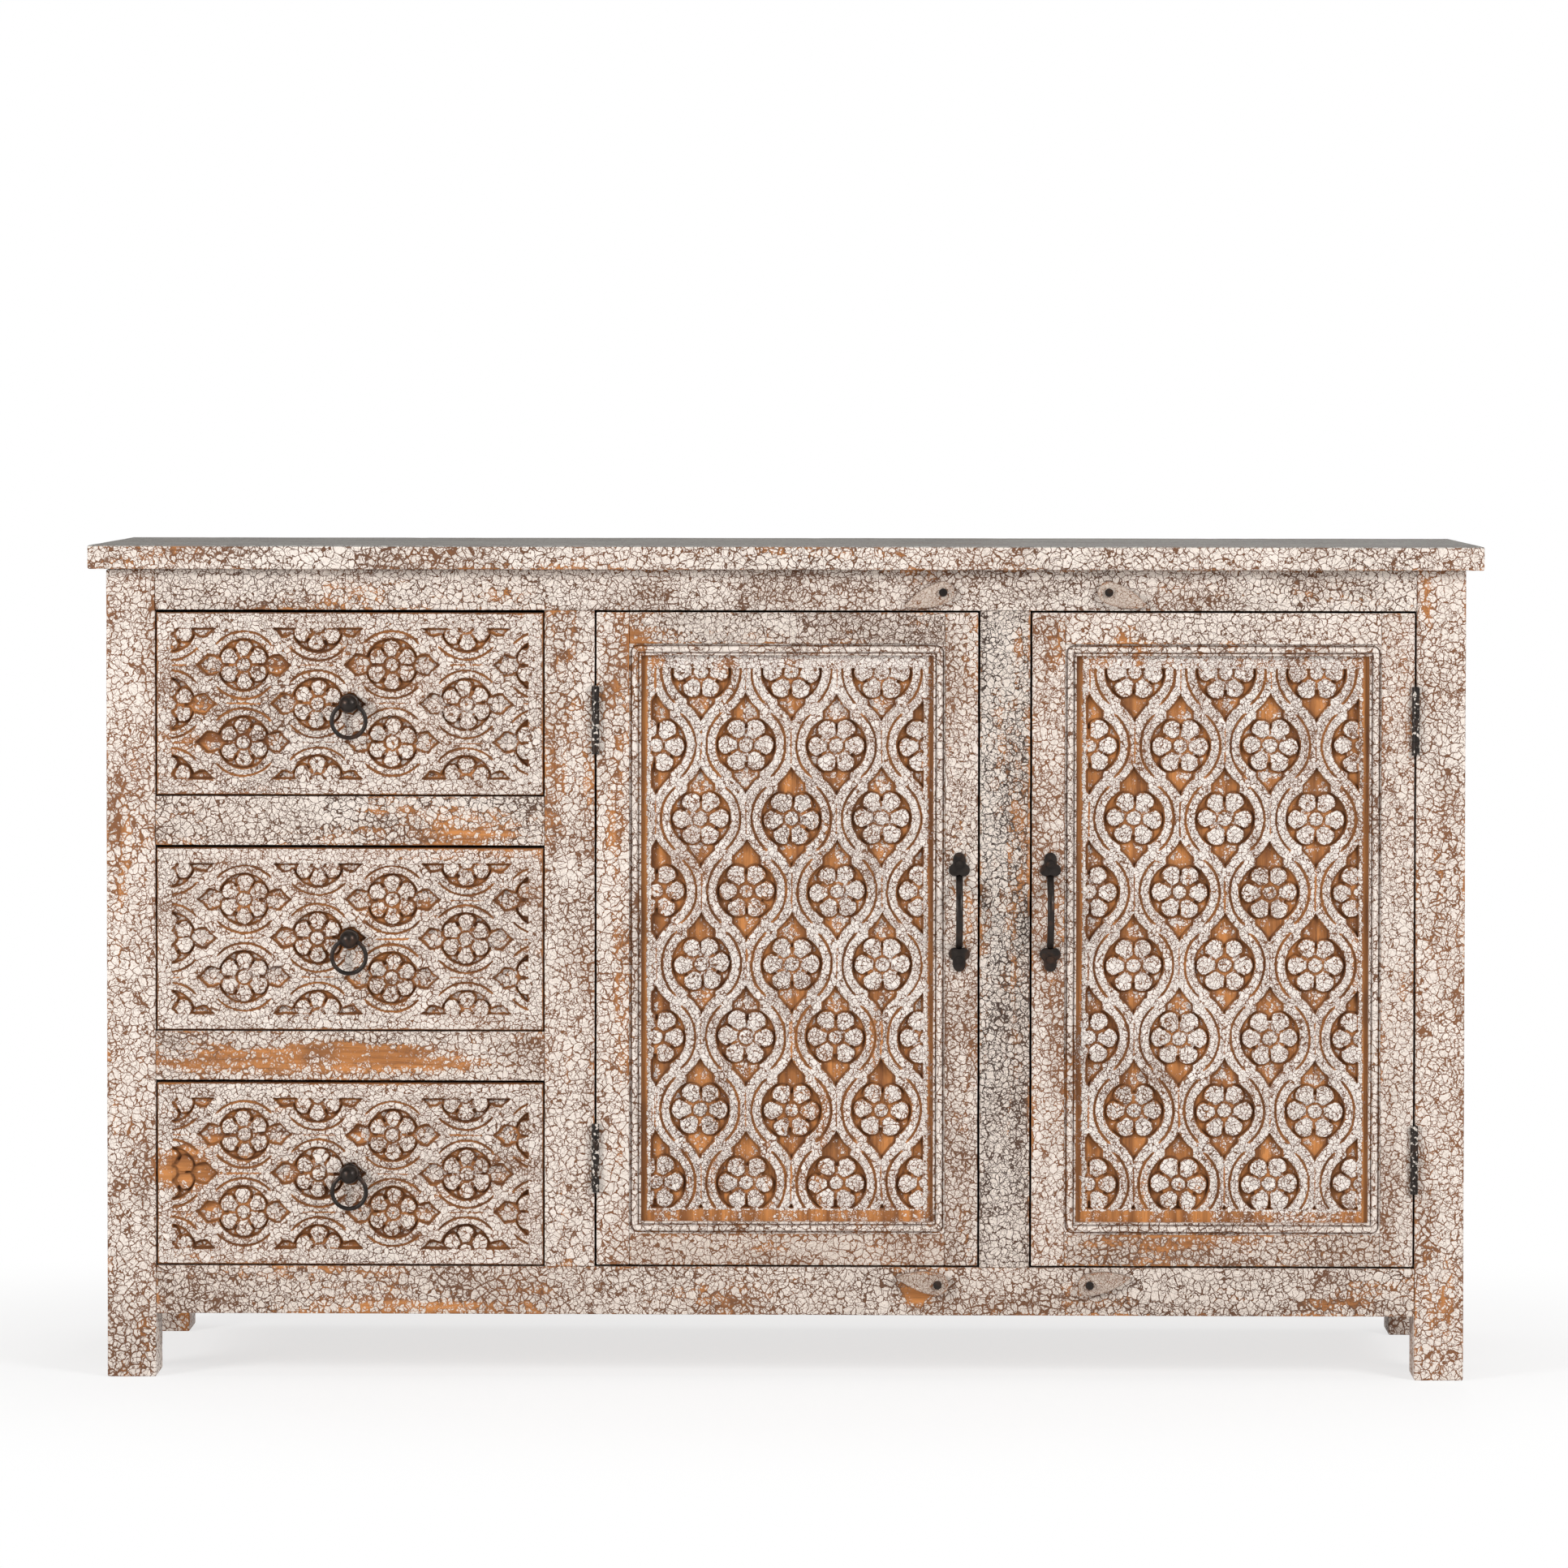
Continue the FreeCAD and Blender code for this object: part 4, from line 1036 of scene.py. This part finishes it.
def make_latches():
    """The four leaves, turned clear of the doors."""
    for number, (node, (x, z, degrees)) in enumerate(LATCHES.items()):
        angle = radians(degrees)
        turn = np.array([[cos(angle), sin(angle)], [-sin(angle), cos(angle)]])
        outline = latch_outline() * MM @ turn + (x, z)
        middle = np.array([LATCH_MIDDLE * MM, 0]) @ turn + (x, z)
        verts, faces, inset = rounded_plate(outline, middle, FACE - LATCH_OFF_RAIL * MM, LATCH_THICK * MM,
                                            LATCH_ROUND * MM)
        marks = {"board": board_place(verts, 0, LATCH_SEED + number), "edge": inset, "wear": 0.24,
                 "tint": 0.8, "crackle": 260.0, "stain": 0.42}
        piece(node + "_leaf", verts, faces, PAINT, node, [node], marks)


def dress_cad_nodes():
    """Finishes for the CAD pieces that stay as they are."""
    finishes = {"hinge_pins": IRON, "latch_screws": IRON, "hinge_frame_screws": IRON,
                "hinge_frame_leaves": HINGE_IRON, "bottom_board": BARE[0], "shelf": BARE[0],
                "shelf_cleats": BARE[0], "drawer_runners": BARE[1], "partition": BARE[2],
                "back_panel": BARE[2]}
    for door in DOORS:
        finishes[door + "_door_screws"] = IRON
        finishes[door + "_door_hinge_leaves"] = HINGE_IRON
    for name in DRAWERS:
        finishes[name + "_drawer_sides_and_back"] = BARE[1]
        finishes[name + "_drawer_bottom"] = BARE[0]
    for node, material in finishes.items():
        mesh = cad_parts[node].data
        mesh.materials.clear()
        mesh.materials.append(material)


# Stage: lamps with their place, size in metres and power in watts
LAMPS = (("left", (-3.5, -3.1, 1.8), 1.3, 132.0), ("right", (3.1, -3.0, 2.6), 1.3, 130.0),
         ("top", (0.0, 0.4, 3.6), 3.0, 42.0), ("back", (0.8, 3.8, 0.55), 1.0, 40.0))
LAMPS_AIM = Vector((0, 0, 0.5))
SKY_LIGHT = 0.26
FLOOR_HALF = 12.0
FLOOR_GREY = rgb(0.9, 0.9, 0.9)
WHITE = rgb(1.0, 1.0, 1.0)


def make_stage():
    """A white floor that keeps the shadow close to the cabinet, soft lamps and an even white sky."""
    g = Graph(bpy.data.materials.new("studio_floor"))
    path = g.add("ShaderNodeLightPath").outputs
    g.set("Base Color", FLOOR_GREY)
    g.set("Roughness", 0.9)
    glow = g.add("ShaderNodeEmission")
    blend = g.add("ShaderNodeMixShader", {1: g.shader.outputs[0], 2: glow.outputs[0]})
    place = g.add("ShaderNodeTexCoord").outputs["Object"]
    away = g.vector("MULTIPLY", place, (1.0, 1.6, 1.0))
    away = g.add("ShaderNodeVectorMath", {0: away}, operation="LENGTH").outputs["Value"]
    seen = g.math("MAXIMUM", path["Is Camera Ray"], path["Is Glossy Ray"])
    g.put(g.times(seen, g.fade(away, 0.7, 1.5, 0.7, 1.0)), blend.inputs[0])
    g.put(blend.outputs[0], g.tree.nodes["Material Output"].inputs["Surface"])
    mesh = bpy.data.meshes.new("studio_floor")
    corners = [(x * FLOOR_HALF, y * FLOOR_HALF, 0) for x, y in ((-1, -1), (1, -1), (1, 1), (-1, 1))]
    mesh.from_pydata(corners, [], [(0, 1, 2, 3)])
    mesh.materials.append(g.owner)
    floor = placed("studio_floor", mesh)

    world = bpy.data.worlds.new("studio")
    bpy.context.scene.world = world
    g = Graph(world, "Background")
    g.set("Color", WHITE)
    g.set("Strength", SKY_LIGHT)
    white = g.add("ShaderNodeBackground", {"Color": WHITE, "Strength": 1.0})
    seen = g.add("ShaderNodeLightPath").outputs["Is Camera Ray"]
    blend = g.add("ShaderNodeMixShader", {0: seen, 1: g.shader.outputs[0], 2: white.outputs[0]})
    g.put(blend.outputs[0], g.tree.nodes["World Output"].inputs["Surface"])

    for name, place, size, power in LAMPS:
        light = bpy.data.lights.new(name, "AREA")
        light.shape = "SQUARE"
        light.size = size
        light.energy = power
        lamp = placed(name, light)
        lamp.location = place
        lamp.rotation_euler = (LAMPS_AIM - Vector(place)).to_track_quat("-Z", "Y").to_euler()


def make_camera():
    """The photograph's viewpoint; the image is square."""
    data = bpy.data.cameras.new("photo_camera")
    data.sensor_width = SENSOR_MM
    data.lens = FOCAL_PIXELS / IMAGE_SIZE * SENSOR_MM
    data.shift_y = SHIFT_PIXELS / IMAGE_SIZE
    data.clip_end = 100
    camera = placed("photo_camera", data)
    turn = Matrix.Rotation(CAMERA_YAW, 3, "Z") @ Matrix.Rotation(CAMERA_PITCH, 3, "X")
    turn = turn @ Matrix.Rotation(CAMERA_ROLL, 3, "Y") @ Matrix.Rotation(pi / 2, 3, "X")
    place = CAMERA_FROM_FACE + Vector((0, FACE, 0))
    camera.matrix_world = Matrix.Translation(place) @ turn.to_4x4()
    bpy.context.scene.camera = camera


make_front_frame()
make_sides_and_back_rails()
make_drawer_fronts()
make_door_panels()
make_door_frames()
make_handles()
make_ring_pulls()
make_latches()
dress_cad_nodes()
make_stage()
make_camera()
bpy.context.scene.view_settings.view_transform = "Standard"
